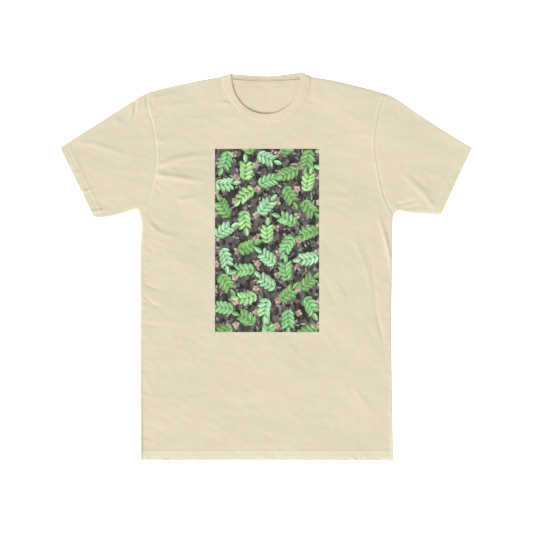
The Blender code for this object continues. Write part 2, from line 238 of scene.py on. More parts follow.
def front_curve(half_width, depth, centre_y, turn):
    """The front of the neck, where turn runs from 0 at the wearer's right to 1 at the left."""
    angle = math.pi * np.asarray(turn, float)
    power = 2 / NECK_ROUNDNESS
    x = -half_width * np.sign(np.cos(angle)) * np.abs(np.cos(angle)) ** power
    return np.column_stack([x, centre_y - depth * np.abs(np.sin(angle)) ** power])


# how far the front neck seam is pulled in, in metres, by the turn; the shirt was laid down so
PULLED_IN = [(0.0, 0.0), (0.08, 0.0), (0.13, 0.0038), (0.18, 0.0066), (0.27, 0.0058), (0.40, 0.0036),
             (0.50, 0.0014), (0.62, 0.0), (1.0, 0.0)]
PULLED_TO = 0.3  # share of the neck's depth at which the point lies that it is pulled towards


def neck_seam(turn):
    """The front neck seam, from the wearer's right to the left."""
    line = front_curve(NECK_HALF_WIDTH, FRONT_NECK_DEPTH, NECK_Y, turn)
    inward = np.array([0.0, NECK_Y - PULLED_TO * FRONT_NECK_DEPTH]) - line
    inward /= np.linalg.norm(inward, axis=1)[:, None]
    return line + np.interp(turn, *np.transpose(PULLED_IN))[:, None] * inward


def back_curve(turn):
    """The back neck seam, where turn runs from 0 at the wearer's right to 1 at the left."""
    across = -np.cos(math.pi * np.asarray(turn, float))
    return np.column_stack([NECK_HALF_WIDTH * across, NECK_Y - BACK_NECK_DEPTH * (1 - across ** 2)])


TURNS = np.linspace(0, 1, 241)  # where the neck's curves are worked out
right = {name: smooth(points) for name, points in RIGHT.items()}
left = {name: smooth(points) for name, points in LEFT.items()}
front_neck = even(neck_seam(TURNS), EDGE_SPACING)
back_neck = even(back_curve(TURNS), EDGE_SPACING)
hem_line = even(np.array([right["side"][-1], left["side"][-1]]), EDGE_SPACING)
print("outline points:", sum(len(line) for side in (right, left) for line in side.values()))

# %% [markdown]
# ## How high the cloth lies
#
# A shirt laid flat is two layers with a little air between them. Where front and back are one piece of
# cloth, or are sewn together, they meet in a soft roll. So the height of each layer follows from one thing,
# the distance to the rolled edge: nothing at the edge, then a quarter round, then level. Distances to a
# line are the tool for this, and for every seam groove and fold below.

# %% Distances and the rolled edge
TOP_HEIGHT = 0.0090  # the front layer's outer face
SEAM_HEIGHT = TOP_HEIGHT / 2
EDGE_ROLL = 0.0026
ROLL_RINGS = tuple(EDGE_ROLL * (1 - math.cos(math.radians(a))) for a in (30, 48, 66, 86))
SHUT = 0.00006  # half the slit of a closed side seam
LEVEL_FROM = 0.006  # folds and seams reach their full height this far from a rolled edge
ROLLED_NAMES = ("shoulder", "sleeve_top", "underarm", "armpit", "side")

rolled_lines = [side[name] for side in (right, left) for name in ROLLED_NAMES]
hemmed_lines = [hem_line, right["opening"], left["opening"]]
armholes = ((right["armhole"], 1), (left["armhole"], -1))  # each with the body's side of it


def near(points, line):
    """For each point: how far the line is, how far along its nearest spot lies, and on which side."""
    points, line = np.asarray(points, float), np.asarray(line, float)
    best = np.full(len(points), 1e9)
    along, sign = np.zeros(len(points)), np.ones(len(points))
    lengths = np.linalg.norm(np.diff(line, axis=0), axis=1)
    starts = np.concatenate([[0.0], np.cumsum(lengths)])
    for a, b, length, start in zip(line, line[1:], lengths, starts):
        direction = (b - a) / length
        offset = points - a
        share = np.clip(offset @ direction, 0, length)
        off = offset - share[:, None] * direction
        distance = np.hypot(off[:, 0], off[:, 1])
        closer = distance < best
        best[closer] = distance[closer]
        along[closer] = ((start + share) / starts[-1])[closer]
        side = direction[0] * offset[:, 1] - direction[1] * offset[:, 0]
        sign[closer] = np.where(side[closer] < 0, -1.0, 1.0)
    return best, along, sign


def ease(x):
    """A smooth step from 0 to 1."""
    x = np.clip(x, 0, 1)
    return x * x * (3 - 2 * x)


def distance_to(points, lines):
    """How far points lie from the nearest of some lines."""
    return np.min([near(points, line)[0] for line in lines], axis=0)


def quarter_round(distance, radius):
    """A rounded edge: 0 at the edge, 1 where the cloth is level."""
    return np.sqrt(1 - (1 - np.clip(distance / radius, 0, 1)) ** 2)


def bell(distance, width):
    """A bell curve of height 1."""
    return np.exp(-(distance / width) ** 2)


print("edge rings, in mm:", [round(r * 1000, 2) for r in ROLL_RINGS])

# %% [markdown]
# ## Folds and gathers
#
# Jersey keeps soft marks of how it was worn and laid down: drag lines that fan out from the armholes, a
# roll below each armpit, long hanging folds down one side and small puckers along the other. Each is a line
# with a height and a width, and its section is a bell curve. A crest catches the light on the side that
# faces the lamp and shades the other, so what the photo shows as a dark line is the wall of a fold, and the
# fold's own line runs just beside it.

# %% The folds read from the photo
# height in mm (a valley is negative), width in mm, then the line in pixels, from its strong end to its faint
# one
FOLDS_PX = [
    (2.9, 5.0, [(156, 167.5), (167, 163), (178, 159), (194, 156.5), (214, 155.5)]),
    (-0.8, 4.5, [(156, 169.5), (170, 168), (190, 168.5), (212, 171)]),
    (2.9, 5.0, [(153, 174.5), (167, 176.2), (183, 178.6), (197, 180.6), (214, 181.5)]),
    (1.6, 4.0, [(176, 200), (188, 199), (198, 196.5), (208, 194)]),
    (0.5, 2.4, [(153, 183), (160, 187.5), (165, 193)]),
    (-0.5, 2.4, [(153, 188.5), (160, 191.5), (163, 199)]),
    (0.6, 2.4, [(154.5, 194.5), (157, 196.5), (159, 199.5)]),
    (-0.6, 4.0, [(148.5, 211), (152.5, 220), (160.5, 227), (170, 229.5), (186, 229)]),
    (1.5, 3.6, [(146.5, 218.5), (153.5, 227.5), (161.5, 233.5), (172, 236), (188, 235.5)]),
    (1.6, 4.0, [(150, 99.5), (162, 96.5), (182, 91)]),
    (1.4, 2.6, [(150.5, 109.5), (156, 107.5)]),
    (1.6, 3.0, [(152.5, 120), (160, 117)]),
    (1.3, 2.6, [(158, 142), (169, 139.5)]),
    (0.9, 4.0, [(165, 107.5), (183, 104), (200, 101.5)]),
    (0.7, 4.0, [(190, 119.5), (212, 117)]),
    (1.2, 2.8, [(231, 104), (224, 103), (213, 105)]),
    (0.9, 3.0, [(237, 117), (229, 118.5), (220, 121)]),
    (0.6, 3.6, [(218, 130), (234, 128)]),
    (1.5, 4.8, [(76, 141.5), (92, 144), (107, 148), (121, 153), (134, 160)]),
    (0.8, 2.3, [(132.8, 101), (131.5, 116), (129.5, 128)]),
    (-0.9, 2.3, [(136, 101), (134.5, 113), (132.5, 125)]),
    (0.8, 2.2, [(139.5, 99.5), (138.5, 108), (137, 116)]),
    (0.7, 2.2, [(144.5, 98), (143.5, 105), (143, 111)]),
    (1.1, 5.0, [(120, 119), (112, 124)]),
    (-0.4, 3.0, [(146.5, 244.5), (151, 249.5), (157, 250)]),
    (-0.3, 3.0, [(159, 253.5), (166, 256)]),
    (-1.2, 3.2, [(142.5, 282), (149, 285.3), (155.5, 288.5), (166, 291)]),
    (-1.0, 3.0, [(144, 295), (150, 301), (156, 305.5), (170, 307.5)]),
    (-0.6, 3.0, [(142, 308), (154, 310)]),
    (-0.8, 2.6, [(150, 318.5), (158, 315)]),
    (-0.6, 3.0, [(146, 325.5), (157, 325.5), (168, 326)]),
    (-0.65, 2.8, [(383, 344), (379, 326), (376, 305), (374, 285), (371.5, 266), (367, 252), (362, 240),
                  (357, 227)]),
    (0.7, 3.4, [(355, 236), (359, 250), (364, 262), (367.5, 275), (369.5, 290), (371, 308)]),
    (3.4, 3.4, [(394, 276), (390, 258), (387, 245), (383.5, 232), (379.3, 219), (375, 206)]),
    (-0.6, 3.4, [(323, 276), (329, 289), (332, 297), (336, 309)]),
    (-0.6, 3.4, [(338, 281), (345, 290), (348, 300), (352, 310)]),
    (-0.7, 2.8, [(375.5, 311), (379.8, 326), (382, 336), (383.5, 350)]),
    (-0.4, 3.4, [(366, 318), (370, 332), (375, 346)]),
    (0.5, 4.0, [(324, 333), (332, 345), (341, 357)]),
    (0.5, 4.0, [(288, 345), (300, 359)]),
    (0.5, 5.0, [(352, 386), (364, 402), (376, 420)]),
    (1.1, 4.4, [(328, 195.5), (345.7, 198), (360, 196), (374, 193)]),
    (0.4, 3.2, [(372, 140), (363, 135), (351, 131.5)]),
    (0.4, 3.2, [(372, 157.5), (363, 155.5), (352, 152)]),
    (1.5, 3.2, [(388, 96.5), (375, 98)]),
    (1.7, 6.0, [(436, 211), (428.5, 200), (421.5, 191), (413, 183), (404, 175), (395, 168)]),
    (-1.6, 3.0, [(394, 205), (407, 202.5), (420, 198.5)]),
    (-1.4, 2.6, [(403, 209), (415, 206.8), (426, 204)]),
    (-0.9, 2.6, [(308.5, 102.5), (312, 101), (317, 101)]),
    (0.3, 2.6, [(398.5, 106), (400.5, 116), (402, 126)]),
    (1.6, 2.2, [(72.5, 174.5), (82, 170.5)]),
    (1.8, 2.4, [(82, 192.5), (97, 187)]),
    (2.4, 3.2, [(88, 212.5), (98, 211), (112, 209)]),
    (-1.3, 2.4, [(461, 168), (449, 190), (441, 202)]),
]
FADE_IN, FADE_OUT = 0.14, 0.55  # shares of a fold's length over which it rises and dies away
STROKE_SPACING = 0.003  # of the points along a fold's line

folds = [(height / 1000, width / 1000, smooth(at(line), STROKE_SPACING)) for height, width, line in FOLDS_PX]


def fold_height(points, strokes):
    """The sum of all the folds at each point."""
    total = np.zeros(len(points))
    for height, width, line in strokes:
        low, high = line.min(0) - 3 * width, line.max(0) + 3 * width
        close = np.all((points > low) & (points < high), axis=1)
        if close.any():
            distance, along, _ = near(points[close], line)
            fade = ease(along / FADE_IN) * ease((1 - along) / FADE_OUT)
            total[close] += height * fade * bell(distance, width)
    return total


print(len(folds), "folds, the longest", round(max(distances_along(line)[-1] for _, _, line in folds), 3), "m")

# %% [markdown]
# ## Puckers and slow waves
#
# Between the folds, cloth is never quite level. Along a side seam and a hem, the stitching pulls up rows of
# short puckers. They follow no drawing, so a seeded draw places them. Over the whole panel lie low, long
# bumps. Smooth noise makes them, stretched along the direction that the cloth was pulled in.

# %% Puckers and waves
SEED = 29
draw = np.random.default_rng(SEED)
# at most, as a share of the step, in radians and as a share of the length
PUCKER_SHIFT, PUCKER_TURN, PUCKER_BEND = 0.4, 0.5, 0.15
PUCKER_LENGTHS, PUCKER_STRENGTHS = (0.5, 1.2), (0.3, 1.0)  # least and most, as shares


def heading(turn):
    """A direction from an angle."""
    return np.array([math.cos(turn), math.sin(turn)])


def left_of(steps):
    """The same steps, turned a quarter to the left."""
    return np.stack([-steps[..., 1], steps[..., 0]], axis=-1)


def puckers(line, step, reach, height, width, inward):
    """Short seeded strokes that start on a line and run inward."""
    strokes = []
    for start in even(line, step)[1:-1]:
        start = start + draw.uniform(-PUCKER_SHIFT, PUCKER_SHIFT, 2) * step
        along, across = heading(draw.uniform(-PUCKER_TURN, PUCKER_TURN))
        length = reach * draw.uniform(*PUCKER_LENGTHS)
        direction = np.array([inward[0] * along - inward[1] * across, inward[0] * across + inward[1] * along])
        bend = left_of(direction) * length * draw.uniform(-PUCKER_BEND, PUCKER_BEND)
        points = [start, start + direction * length / 2 + bend, start + direction * length]
        strength = draw.uniform(*PUCKER_STRENGTHS) * draw.choice([-1, 1])
        strokes.append((height * strength, width, smooth(points, STROKE_SPACING)))
    return strokes


# turn in degrees, length and width in metres, steepness on average, and a number that tells the layers apart
WIDE_BUMPS = (0, 0.110, 0.075, 0.018, 1.3)
LEVEL_BUMPS = ((6, 0.045, 0.017, 0.024, 2.7), (-9, 0.019, 0.0095, 0.022, 3.1))
SLANTED_BUMPS = (-58, 0.060, 0.017, 0.017, 4.9)
FINE_BUMPS = (-35, 0.017, 0.0100, 0.017, 5.2)
FLAT_BUMPS_LEFT = 0.4  # share of the level bumps that stays where the slanting ones lie
SLANT_X, SLANT_Y = (0.03, 0.13), (0.12, 0.14)  # where the slanting bumps start, and over which distance
BUMP_BEND = (0.6, 0.6, 0.3, 0.5)  # strength, pace along, pace across and the shift of the noise's layer
NOISE_GAIN = 1.7  # smooth noise stays well below 1, so it is scaled up


def unrest(points, turn, long, short, slope, layer):
    """Low bumps that are longer one way than the other."""
    along = heading(math.radians(turn))
    u, v = points @ along / long, points @ left_of(along) / short
    strength, pace_along, pace_across, shift = BUMP_BEND
    bends = [smooth_noise((a * pace_along, b * pace_across, layer + shift)) for a, b in zip(u, v)]
    bent = [b + strength * bend for b, bend in zip(v, bends)]
    return np.array([smooth_noise((a, b, layer)) for a, b in zip(u, bent)]) * slope * short * NOISE_GAIN


def crinkle(points):
    """The fine unrest of the cloth: across the shirt, and slanting on the lower part of the wearer's left."""
    slanting = ease((points[:, 0] - SLANT_X[0]) / SLANT_X[1]) * ease((SLANT_Y[0] - points[:, 1]) / SLANT_Y[1])
    level = unrest(points, *LEVEL_BUMPS[0]) + unrest(points, *LEVEL_BUMPS[1])
    total = unrest(points, *WIDE_BUMPS) + level * (1 - (1 - FLAT_BUMPS_LEFT) * slanting)
    total += unrest(points, *SLANTED_BUMPS) * slanting
    return total + unrest(points, *FINE_BUMPS)


# the line that a row of puckers starts on, its step, reach, height and width in metres, and its direction
SIDE_PUCKERS = (
    (right["side"][20:], 0.0095, 0.026, 0.0007, 0.0028, (1, 0)),
    (left["side"][20:], 0.0140, 0.024, 0.0005, 0.0030, (-1, 0)),
)
HEM_PUCKERS = (
    (hem_line[2:44], 0.0070, 0.015, 0.0010, 0.0020, (0.45, 0.89)),
    (hem_line[-34:-2], 0.0070, 0.015, 0.0010, 0.0020, (-0.5, 0.87)),
    (hem_line[44:-34], 0.0100, 0.012, 0.0006, 0.0022, (0.3, 0.95)),
    (right["opening"], 0.0080, 0.016, 0.0007, 0.0020, (0.90, 0.43)),
    (left["opening"], 0.0080, 0.016, 0.0007, 0.0020, (-0.90, 0.43)),
)
side_puckers = [stroke for row in SIDE_PUCKERS for stroke in puckers(*row)]
hem_puckers = [stroke for row in HEM_PUCKERS for stroke in puckers(*row)]
print(len(side_puckers), "side puckers and", len(hem_puckers), "hem puckers")

# %% [markdown]
# ## Seams and hems in the surface
#
# A seam shows as a narrow groove. The turned allowances behind it push up a low ridge on the side that they
# are pressed to, the body's. A hem is two layers thick, so it stands a little proud and ends in a step at
# its stitches. Thin cream jersey also lets some light through. Where two or three layers lie together, less
# is lost and the cloth looks a little lighter, so hems and seam allowances are noted in an attribute for
# the material. The same attribute also carries painted light: a painted glow along the rolled edges, where
# light from the table would shine through, and a painted highlight along the tops of the sleeves.

# %% Seams and hems
HEM_DEPTH = 0.0193
FIRST_STITCHES = 0.0016  # from the raw edge of a hem to the nearer stitch row
STITCH_GAP = 0.0055  # between the two rows of a hem
COLLAR_STITCHES = 0.0048  # from the neck seam to the stitch row beside it
ARMHOLE_GROOVE = (0.00047, 0.0011, 0.0030)  # depth, width on the body's side and width on the sleeve's
BACK_NECK_GROOVE = (0.0006, 0.0011)  # depth and width
NECK_GROOVE = (0.00012, 0.0010)
STITCH_DENT = (0.00035, 0.0011)
ALLOWANCE = (0.0005, 0.0032, 0.0017)  # height, distance from the seam and width of the ridge behind it
ALLOWANCE_EDGE = 0.0072
HEM_PROUD = 0.0006
HEM_STEP = 0.0016  # the width of the step at a hem's raw edge
HEM_FOLD = (0.0005, 0.0012)  # how far the hem's fold is rounded off, and over which distance
# how much lighter than the cloth a spot looks, where 1 is the hem of the body
SLEEVE_HEM_SHARE, ALLOWANCE_SHARE = 0.05, 0.3
LIGHTER_OVER = (0.001, 0.0012)  # how wide the change is at a hem's raw edge, and at an allowance's
# painted light: a lighter rim along the rolled edges, as if table light shone through the cloth
PAINTED_EDGE_GLOW = (0.55, 0.0030)  # share, and how far it reaches
# painted highlight along the tops of the sleeves: share, and how far it reaches
PAINTED_TOP_HIGHLIGHT = (0.55, 0.0060)


def seam_relief(points):
    """The armhole seams, seen on the front or the back."""
    total = np.zeros(len(points))
    for line, body_side in armholes:
        distance, _, side = near(points, line)
        ridge = ALLOWANCE[0] * bell(distance - ALLOWANCE[1], ALLOWANCE[2])
        width = np.where(side == body_side, ARMHOLE_GROOVE[1], ARMHOLE_GROOVE[2])
        total += np.where(side == body_side, ridge, 0.0) - ARMHOLE_GROOVE[0] * bell(distance, width)
    return total


def layers_and_painted_glow(points):
    """How much lighter a spot looks: at hems and allowances, with painted glow at rolled edges and sleeve
    tops.
    """
    in_sleeve_hem = ease((HEM_DEPTH - distance_to(points, hemmed_lines[1:])) / LIGHTER_OVER[0])
    backed = ease((HEM_DEPTH - near(points, hem_line)[0]) / LIGHTER_OVER[0])
    backed = np.maximum(backed, SLEEVE_HEM_SHARE * in_sleeve_hem)
    for line, body_side in armholes:
        distance, _, side = near(points, line)
        beside_seam = (side == body_side) * ease((ALLOWANCE_EDGE - distance) / LIGHTER_OVER[1])
        backed = np.maximum(backed, ALLOWANCE_SHARE * beside_seam)
    tops = distance_to(points, [right["sleeve_top"], left["sleeve_top"]])
    # painted light: the rolled edges get a painted glow and the sleeve tops a painted highlight
    glow = PAINTED_EDGE_GLOW[0] * np.exp(-distance_to(points, rolled_lines) / PAINTED_EDGE_GLOW[1])
    return np.maximum(backed, glow + PAINTED_TOP_HIGHLIGHT[0] * np.exp(-tops / PAINTED_TOP_HIGHLIGHT[1]))


def hem_relief(distance):
    """A hem's raised band, its stitch rows and its rounded fold, by the distance from its edge."""
    band = HEM_PROUD * ease((HEM_DEPTH + HEM_STEP / 2 - distance) / HEM_STEP)
    past_stitches = distance - HEM_DEPTH + FIRST_STITCHES
    rows = bell(past_stitches, STITCH_DENT[1]) + bell(past_stitches + STITCH_GAP, STITCH_DENT[1])
    return band - STITCH_DENT[0] * rows - HEM_FOLD[0] * (1 - quarter_round(distance, HEM_FOLD[1]))


HEM_SINKS = 0.0026  # the layers lie closer together at the hem
SINKS_FROM = -0.09
HEM_WAVES = (0.0011, 0.055)  # height and length of the waves where the front hangs free at the hem
SINK_POWER, WAVE_POWER = 1.3, 5  # how late the sinking and the waves set in on the way to the hem


def sinking(points):
    """How far the front has sunk, with slow waves where it hangs free at the hem."""
    share = np.clip((SINKS_FROM - points[:, 1]) / (SINKS_FROM - HEM_Y), 0, 1)
    waves = np.array([smooth_noise((x / HEM_WAVES[1], 0.4, 8.1)) for x in points[:, 0]])
    return HEM_SINKS * share ** SINK_POWER - HEM_WAVES[0] * waves * share ** WAVE_POWER


def front_height(points):
    """The outer face of the front layer."""
    relief = fold_height(points, folds) + fold_height(points, side_puckers)
    relief = relief + crinkle(points) - sinking(points)
    hems = hem_relief(distance_to(points, hemmed_lines))
    relief += seam_relief(points) + hems + fold_height(points, hem_puckers)
    from_neck = near(points, front_neck)[0]
    relief -= NECK_GROOVE[0] * bell(from_neck, NECK_GROOVE[1])
    relief -= STITCH_DENT[0] * bell(from_neck - COLLAR_STITCHES, STITCH_DENT[1])
    distance = distance_to(points, rolled_lines)
    level = SEAM_HEIGHT + SHUT + (TOP_HEIGHT - SEAM_HEIGHT) * quarter_round(distance, EDGE_ROLL)
    return level + relief * ease(distance / LEVEL_FROM)


BACK_LIFT = 0.0009  # how far the back lies off the table, on average
NECK_RISE = 0.0058  # the back arches up into the neck opening
NECK_RISE_SIZE = (0.066, 0.078)
NECK_RISE_ENDS = (1.9, 0.8)  # where the rise ends, and over how much it fades, against its size
BACK_SHIFT = (1, 0.97)  # keeps the back's side puckers from lying right under the front's
BELOW_TAPE = (0.0003, 0.0175, 0.0035)  # height, distance below the seam and width of the bulge under the tape


def back_height(points):
    """The outer face of the back layer, which rests on the table."""
    lift = BACK_LIFT + crinkle(points[:, ::-1]) + fold_height(points * BACK_SHIFT, side_puckers)
    away = np.hypot(points[:, 0] / NECK_RISE_SIZE[0], (points[:, 1] - NECK_Y) / NECK_RISE_SIZE[1])
    lift += NECK_RISE * ease((NECK_RISE_ENDS[0] - away) / NECK_RISE_ENDS[1])
    lift -= seam_relief(points) + hem_relief(distance_to(points, hemmed_lines))
    below_seam = near(points, back_neck)[0]
    lift += BACK_NECK_GROOVE[0] * bell(below_seam, BACK_NECK_GROOVE[1])
    lift += BELOW_TAPE[0] * bell(below_seam - BELOW_TAPE[1], BELOW_TAPE[2])
    distance = distance_to(points, rolled_lines)
    level = SEAM_HEIGHT - SHUT - SEAM_HEIGHT * quarter_round(distance, EDGE_ROLL)
    return level + np.maximum(lift, 0.0) * ease(distance / LEVEL_FROM)


sample = np.array([(0.0, 0.0), (0.15, -0.2), (-0.236, 0.0)])
print("front heights, in mm:", (front_height(sample) * 1000).round(2))
print("back heights, in mm:", (back_height(sample) * 1000).round(2))

# %% [markdown]
# ## From a flat cut to a sheet of cloth
#
# A cut piece is filled with points, dense in rows beside its seams and rolled edges and in an even triangle
# pattern elsewhere, and joined by a Delaunay triangulation, which makes the best-shaped triangles there
# are. Each point is then lifted to its height, and a second face a cloth's thickness inside closes the
# sheet. That gives a real sheet with two faces and an edge, so the hem and the sleeves can be looked into.

# %% Filling a flat cut with points
CLOTH = 0.0007
GRID = 0.0031
ROW_ROOM = 0.000315  # between the points of the rows beside seams and folds
EDGE_ROOM = 0.00022  # between those points and the outline
GRID_EDGE_ROOM, GRID_ROW_ROOM = 0.45, 0.62  # between the even pattern and the outline or the rows, per grid


def inside(points, polygon):
    """Which points lie in a polygon."""
    within = np.zeros(len(points), bool)
    for (ax, ay), (bx, by) in zip(polygon, np.roll(polygon, -1, axis=0)):
        if ay != by:
            crosses = (ay > points[:, 1]) != (by > points[:, 1])
            within ^= crosses & (points[:, 0] < ax + (bx - ax) * (points[:, 1] - ay) / (by - ay))
    return within


def beside(line, distance):
    """The points of a line moved sideways, for both sides."""
    along = np.gradient(line, axis=0)
    normal = left_of(along / np.linalg.norm(along, axis=1)[:, None])
    return np.vstack([line + distance * normal, line - distance * normal])


def flat_cut(outline, guides, grid=GRID):
    """A cut piece as (points, triangles). Guides are (line, distances) that get rows of points."""
    closed = np.vstack([outline, outline[:1]])
    rows = []
    for line, distances in guides:
        for distance in distances:
            moved = beside(line, distance)
            rows.append(moved[near(moved, line)[0] > distance * 0.98])
    rows = np.vstack(rows)
    rows = rows[inside(rows, outline)]
    rows = keep_apart(rows[near(rows, closed)[0] > EDGE_ROOM], ROW_ROOM)
    low, high = outline.min(0), outline.max(0)
    pitch = np.array((grid, grid * math.sqrt(0.75)))
    count = np.ceil((high - low) / pitch).astype(int) + 1
    j, i = np.meshgrid(np.arange(count[0]), np.arange(count[1]))
    hexes = np.column_stack([(j + 0.5 * (i % 2)).ravel() * pitch[0], i.ravel() * pitch[1]]) + low
    hexes = hexes[inside(hexes, outline)]
    hexes = keep_apart(hexes[near(hexes, closed)[0] > grid * GRID_EDGE_ROOM], grid * GRID_ROW_ROOM, rows)
    points = np.vstack([outline, rows, hexes])
    n = len(outline)
    border = [(k, (k + 1) % n) for k in range(n)]
    made = delaunay_2d_cdt([Vector(p) for p in points], border, [], 1, 1e-7)
    return np.array(made[0]), face_up(np.array(made[0]), np.array(made[2]))


def keep_apart(points, room, before=()):
    """Drops each point that lies within room of one before it."""
    cells, kept = {}, []
    for p in before:
        cells.setdefault((int(p[0] // room), int(p[1] // room)), []).append(p)
    for p in points:
        i, j = int(p[0] // room), int(p[1] // room)
        around = [q for di in (-1, 0, 1) for dj in (-1, 0, 1) for q in cells.get((i + di, j + dj), ())]
        if all((p[0] - q[0]) ** 2 + (p[1] - q[1]) ** 2 > room ** 2 for q in around):
            cells.setdefault((i, j), []).append(p)
            kept.append(p)
    return np.array(kept)


def doubled_areas(flat, triangles):
    """Twice the area of each flat triangle, below 0 where it lies face down."""
    a, b, c = (flat[triangles[:, k]] for k in range(3))
    return (b - a)[:, 0] * (c - a)[:, 1] - (b - a)[:, 1] * (c - a)[:, 0]


def face_up(flat, triangles):
    """The triangles with those turned over that lie face down."""
    turned = doubled_areas(flat, triangles) < 0
    triangles[turned] = triangles[turned][:, ::-1]
    return triangles


def area_of(flat, triangles):
    """The area of a flat cut, in square metres."""
    return float(np.abs(doubled_areas(flat, triangles)).sum() / 2)


print("a cut piece gets a point every", GRID * 1000, "mm")

# %% A sheet with two faces and a rounded rim
RIM_BULGE = 0.45  # how far a hem's folded rim reaches out, as a share of its thickness
RIM_FOLDED = (1.2, 0.5)  # from which thickness on a rim is folded, and over how much, in single cloths
DOUBLE_OVER = 0.0008  # how wide the step from single to double cloth is
SHARP_EDGE = 62  # degrees


def smooth_normals(points, triangles):
    """The average direction of the faces round each point."""
    a, b, c = (points[triangles[:, k]] for k in range(3))
    faces = np.cross(b - a, c - a)
    total = np.zeros_like(points)
    for k in range(3):
        np.add.at(total, triangles[:, k], faces)
    return total / np.linalg.norm(total, axis=1)[:, None]


def border_of(triangles):
    """The directed edges that only one triangle uses."""
    edges = np.vstack([triangles[:, [0, 1]], triangles[:, [1, 2]], triangles[:, [2, 0]]])
    used = {tuple(edge) for edge in edges.tolist()}
    return [(a, b) for a, b in sorted(used) if (b, a) not in used]


def outward_from(flat, border):
    """The level direction away from the piece, at each point of its border."""
    total = np.zeros_like(flat)
    for a, b in border:
        step = flat[b] - flat[a]
        away = np.array([step[1], -step[0]]) / np.linalg.norm(step)
        total[a] += away
        total[b] += away
    lengths = np.linalg.norm(total, axis=1)[:, None]
    return np.column_stack([total / np.maximum(lengths, 1e-9), np.zeros(len(flat))])


def layer_points(flat, triangles, height, side, thickness, border):
    """The outer face, the inner face and the rim's middle of a layer: 1 for the front, -1 for the back."""
    outer = np.column_stack([flat, height])
    normal = smooth_normals(outer, triangles if side > 0 else triangles[:, ::-1])
    inner = outer - normal * thickness[:, None]
    clear = SEAM_HEIGHT + side * SHUT
    inner[:, 2] = np.maximum(inner[:, 2], clear) if side > 0 else np.minimum(inner[:, 2], clear)
    folded = ease((thickness / CLOTH - RIM_FOLDED[0]) / RIM_FOLDED[1])[:, None]
    middle = (outer + inner) / 2 + outward_from(flat, border) * folded * thickness[:, None] * RIM_BULGE
    return outer, inner, middle


def layer_faces(triangles, border, side, outer, inner, middle, shut):
    """The faces of one layer, from the numbers of its points."""
    turn = slice(None) if side > 0 else slice(None, None, -1)
    faces = [tuple(outer[t][turn]) for t in triangles] + [tuple(inner[t][::-1][turn]) for t in triangles]
    for a, b in border:
        if not (shut[a] and shut[b]):
            faces.append((outer[b], outer[a], middle[a], middle[b])[turn])
            faces.append((middle[b], middle[a], inner[a], inner[b])[turn])
    return faces


def make_cloth(name, flat, triangles, layers, grain, shut=None):
    """A mesh from one or two layers. Where shut says so, the two layers share their points."""
    border = border_of(triangles)
    count = len(flat)
    shut = np.zeros(count, bool) if shut is None else shut
    thickness = CLOTH * (1 + ease((HEM_DEPTH - distance_to(flat, hemmed_lines)) / DOUBLE_OVER))
    points, faces, first = [], [], None
    for side, height in layers:
        numbers = [np.arange(count) + count * (len(points) + k) for k in range(3)]
        first = first or numbers
        numbers = [np.where(shut, a, b) for a, b in zip(first, numbers)]
        points += layer_points(flat, triangles, height, side, thickness, border)
        faces += layer_faces(triangles, border, side, *numbers, shut)
    points = np.vstack(points)
    if len(layers) == 2:
        points[:3 * count][np.tile(shut, 3), 2] = SEAM_HEIGHT
    used = np.zeros(len(points), bool)
    used[np.unique(np.concatenate([np.array(face) for face in faces]))] = True
    new_number = np.cumsum(used) - 1
    faces = [tuple(int(new_number[k]) for k in face) for face in faces]
    copies = 3 * len(layers)
    # how much lighter each point looks: extra layers, and painted glow and highlight at edges and sleeve tops
    backed = {"backed": np.tile(layers_and_painted_glow(flat), copies)[used]}
    return build_mesh(name, points[used], faces, np.tile(grain, (copies, 1))[used], backed, SHARP_EDGE)


def build_mesh(name, points, faces, grain, values, sharp=None):
    """A smooth mesh with a UV map in metres of cloth and values for its points, sharp above an angle."""
    mesh = bpy.data.meshes.new(name)
    mesh.from_pydata(points.tolist(), [], faces)
    corners = np.zeros(len(mesh.loops), int)
    mesh.loops.foreach_get("vertex_index", corners)
    layer = mesh.uv_layers.new(name="grain")
    layer.uv.foreach_set("vector", grain[corners].astype(np.float32).ravel())
    for label, numbers in values.items():
        attribute = mesh.attributes.new(label, "FLOAT", "POINT")
        attribute.data.foreach_set("value", numbers.astype(np.float32))
    mesh.shade_smooth()
    if sharp:
        mesh.set_sharp_from_angle(angle=math.radians(sharp))
    return mesh


def triangle_count(mesh):
    """How many triangles a mesh has."""
    return sum(len(face.vertices) - 2 for face in mesh.polygons)


print("helpers for sheets are ready")

# %% [markdown]
# ## The front and the back of the body
#
# Front and back are cut alike, apart from the neck: the front is scooped out deeply and the back hardly at
# all. They meet at the shoulders and down the sides. Rows of points run beside every seam, rolled edge and
# stitch row, so that the grooves and the hem's step are crisp without a fine grid everywhere.

# %% Front and back panel
SEAM_ROWS = (0.0006, 0.0013, 0.0022, 0.0034, 0.0048, 0.0066)
NECK_ROWS = (0.0006, 0.0013, 0.0022, 0.0036, 0.0048, 0.0060, 0.0076)
HEM_ROWS = (0.0004, 0.0012, 0.0028, 0.0060, 0.0100, 0.0112, 0.0122, 0.0132, 0.0150, 0.0167, 0.0177, 0.0187,
            0.0193, 0.0201, 0.0212)
BACK_GRID = 0.0040
NARROW_FOLD = 0.0036


def joined(*lines):
    """One loop from lines that follow each other."""
    return np.vstack([line[:-1] for line in lines])


def fold_guides(strokes):
    """Rows beside the narrow folds, which an even grid would blur."""
    return [(line, (0.0001, 0.8 * width, 1.6 * width)) for _, width, line in strokes if width < NARROW_FOLD]


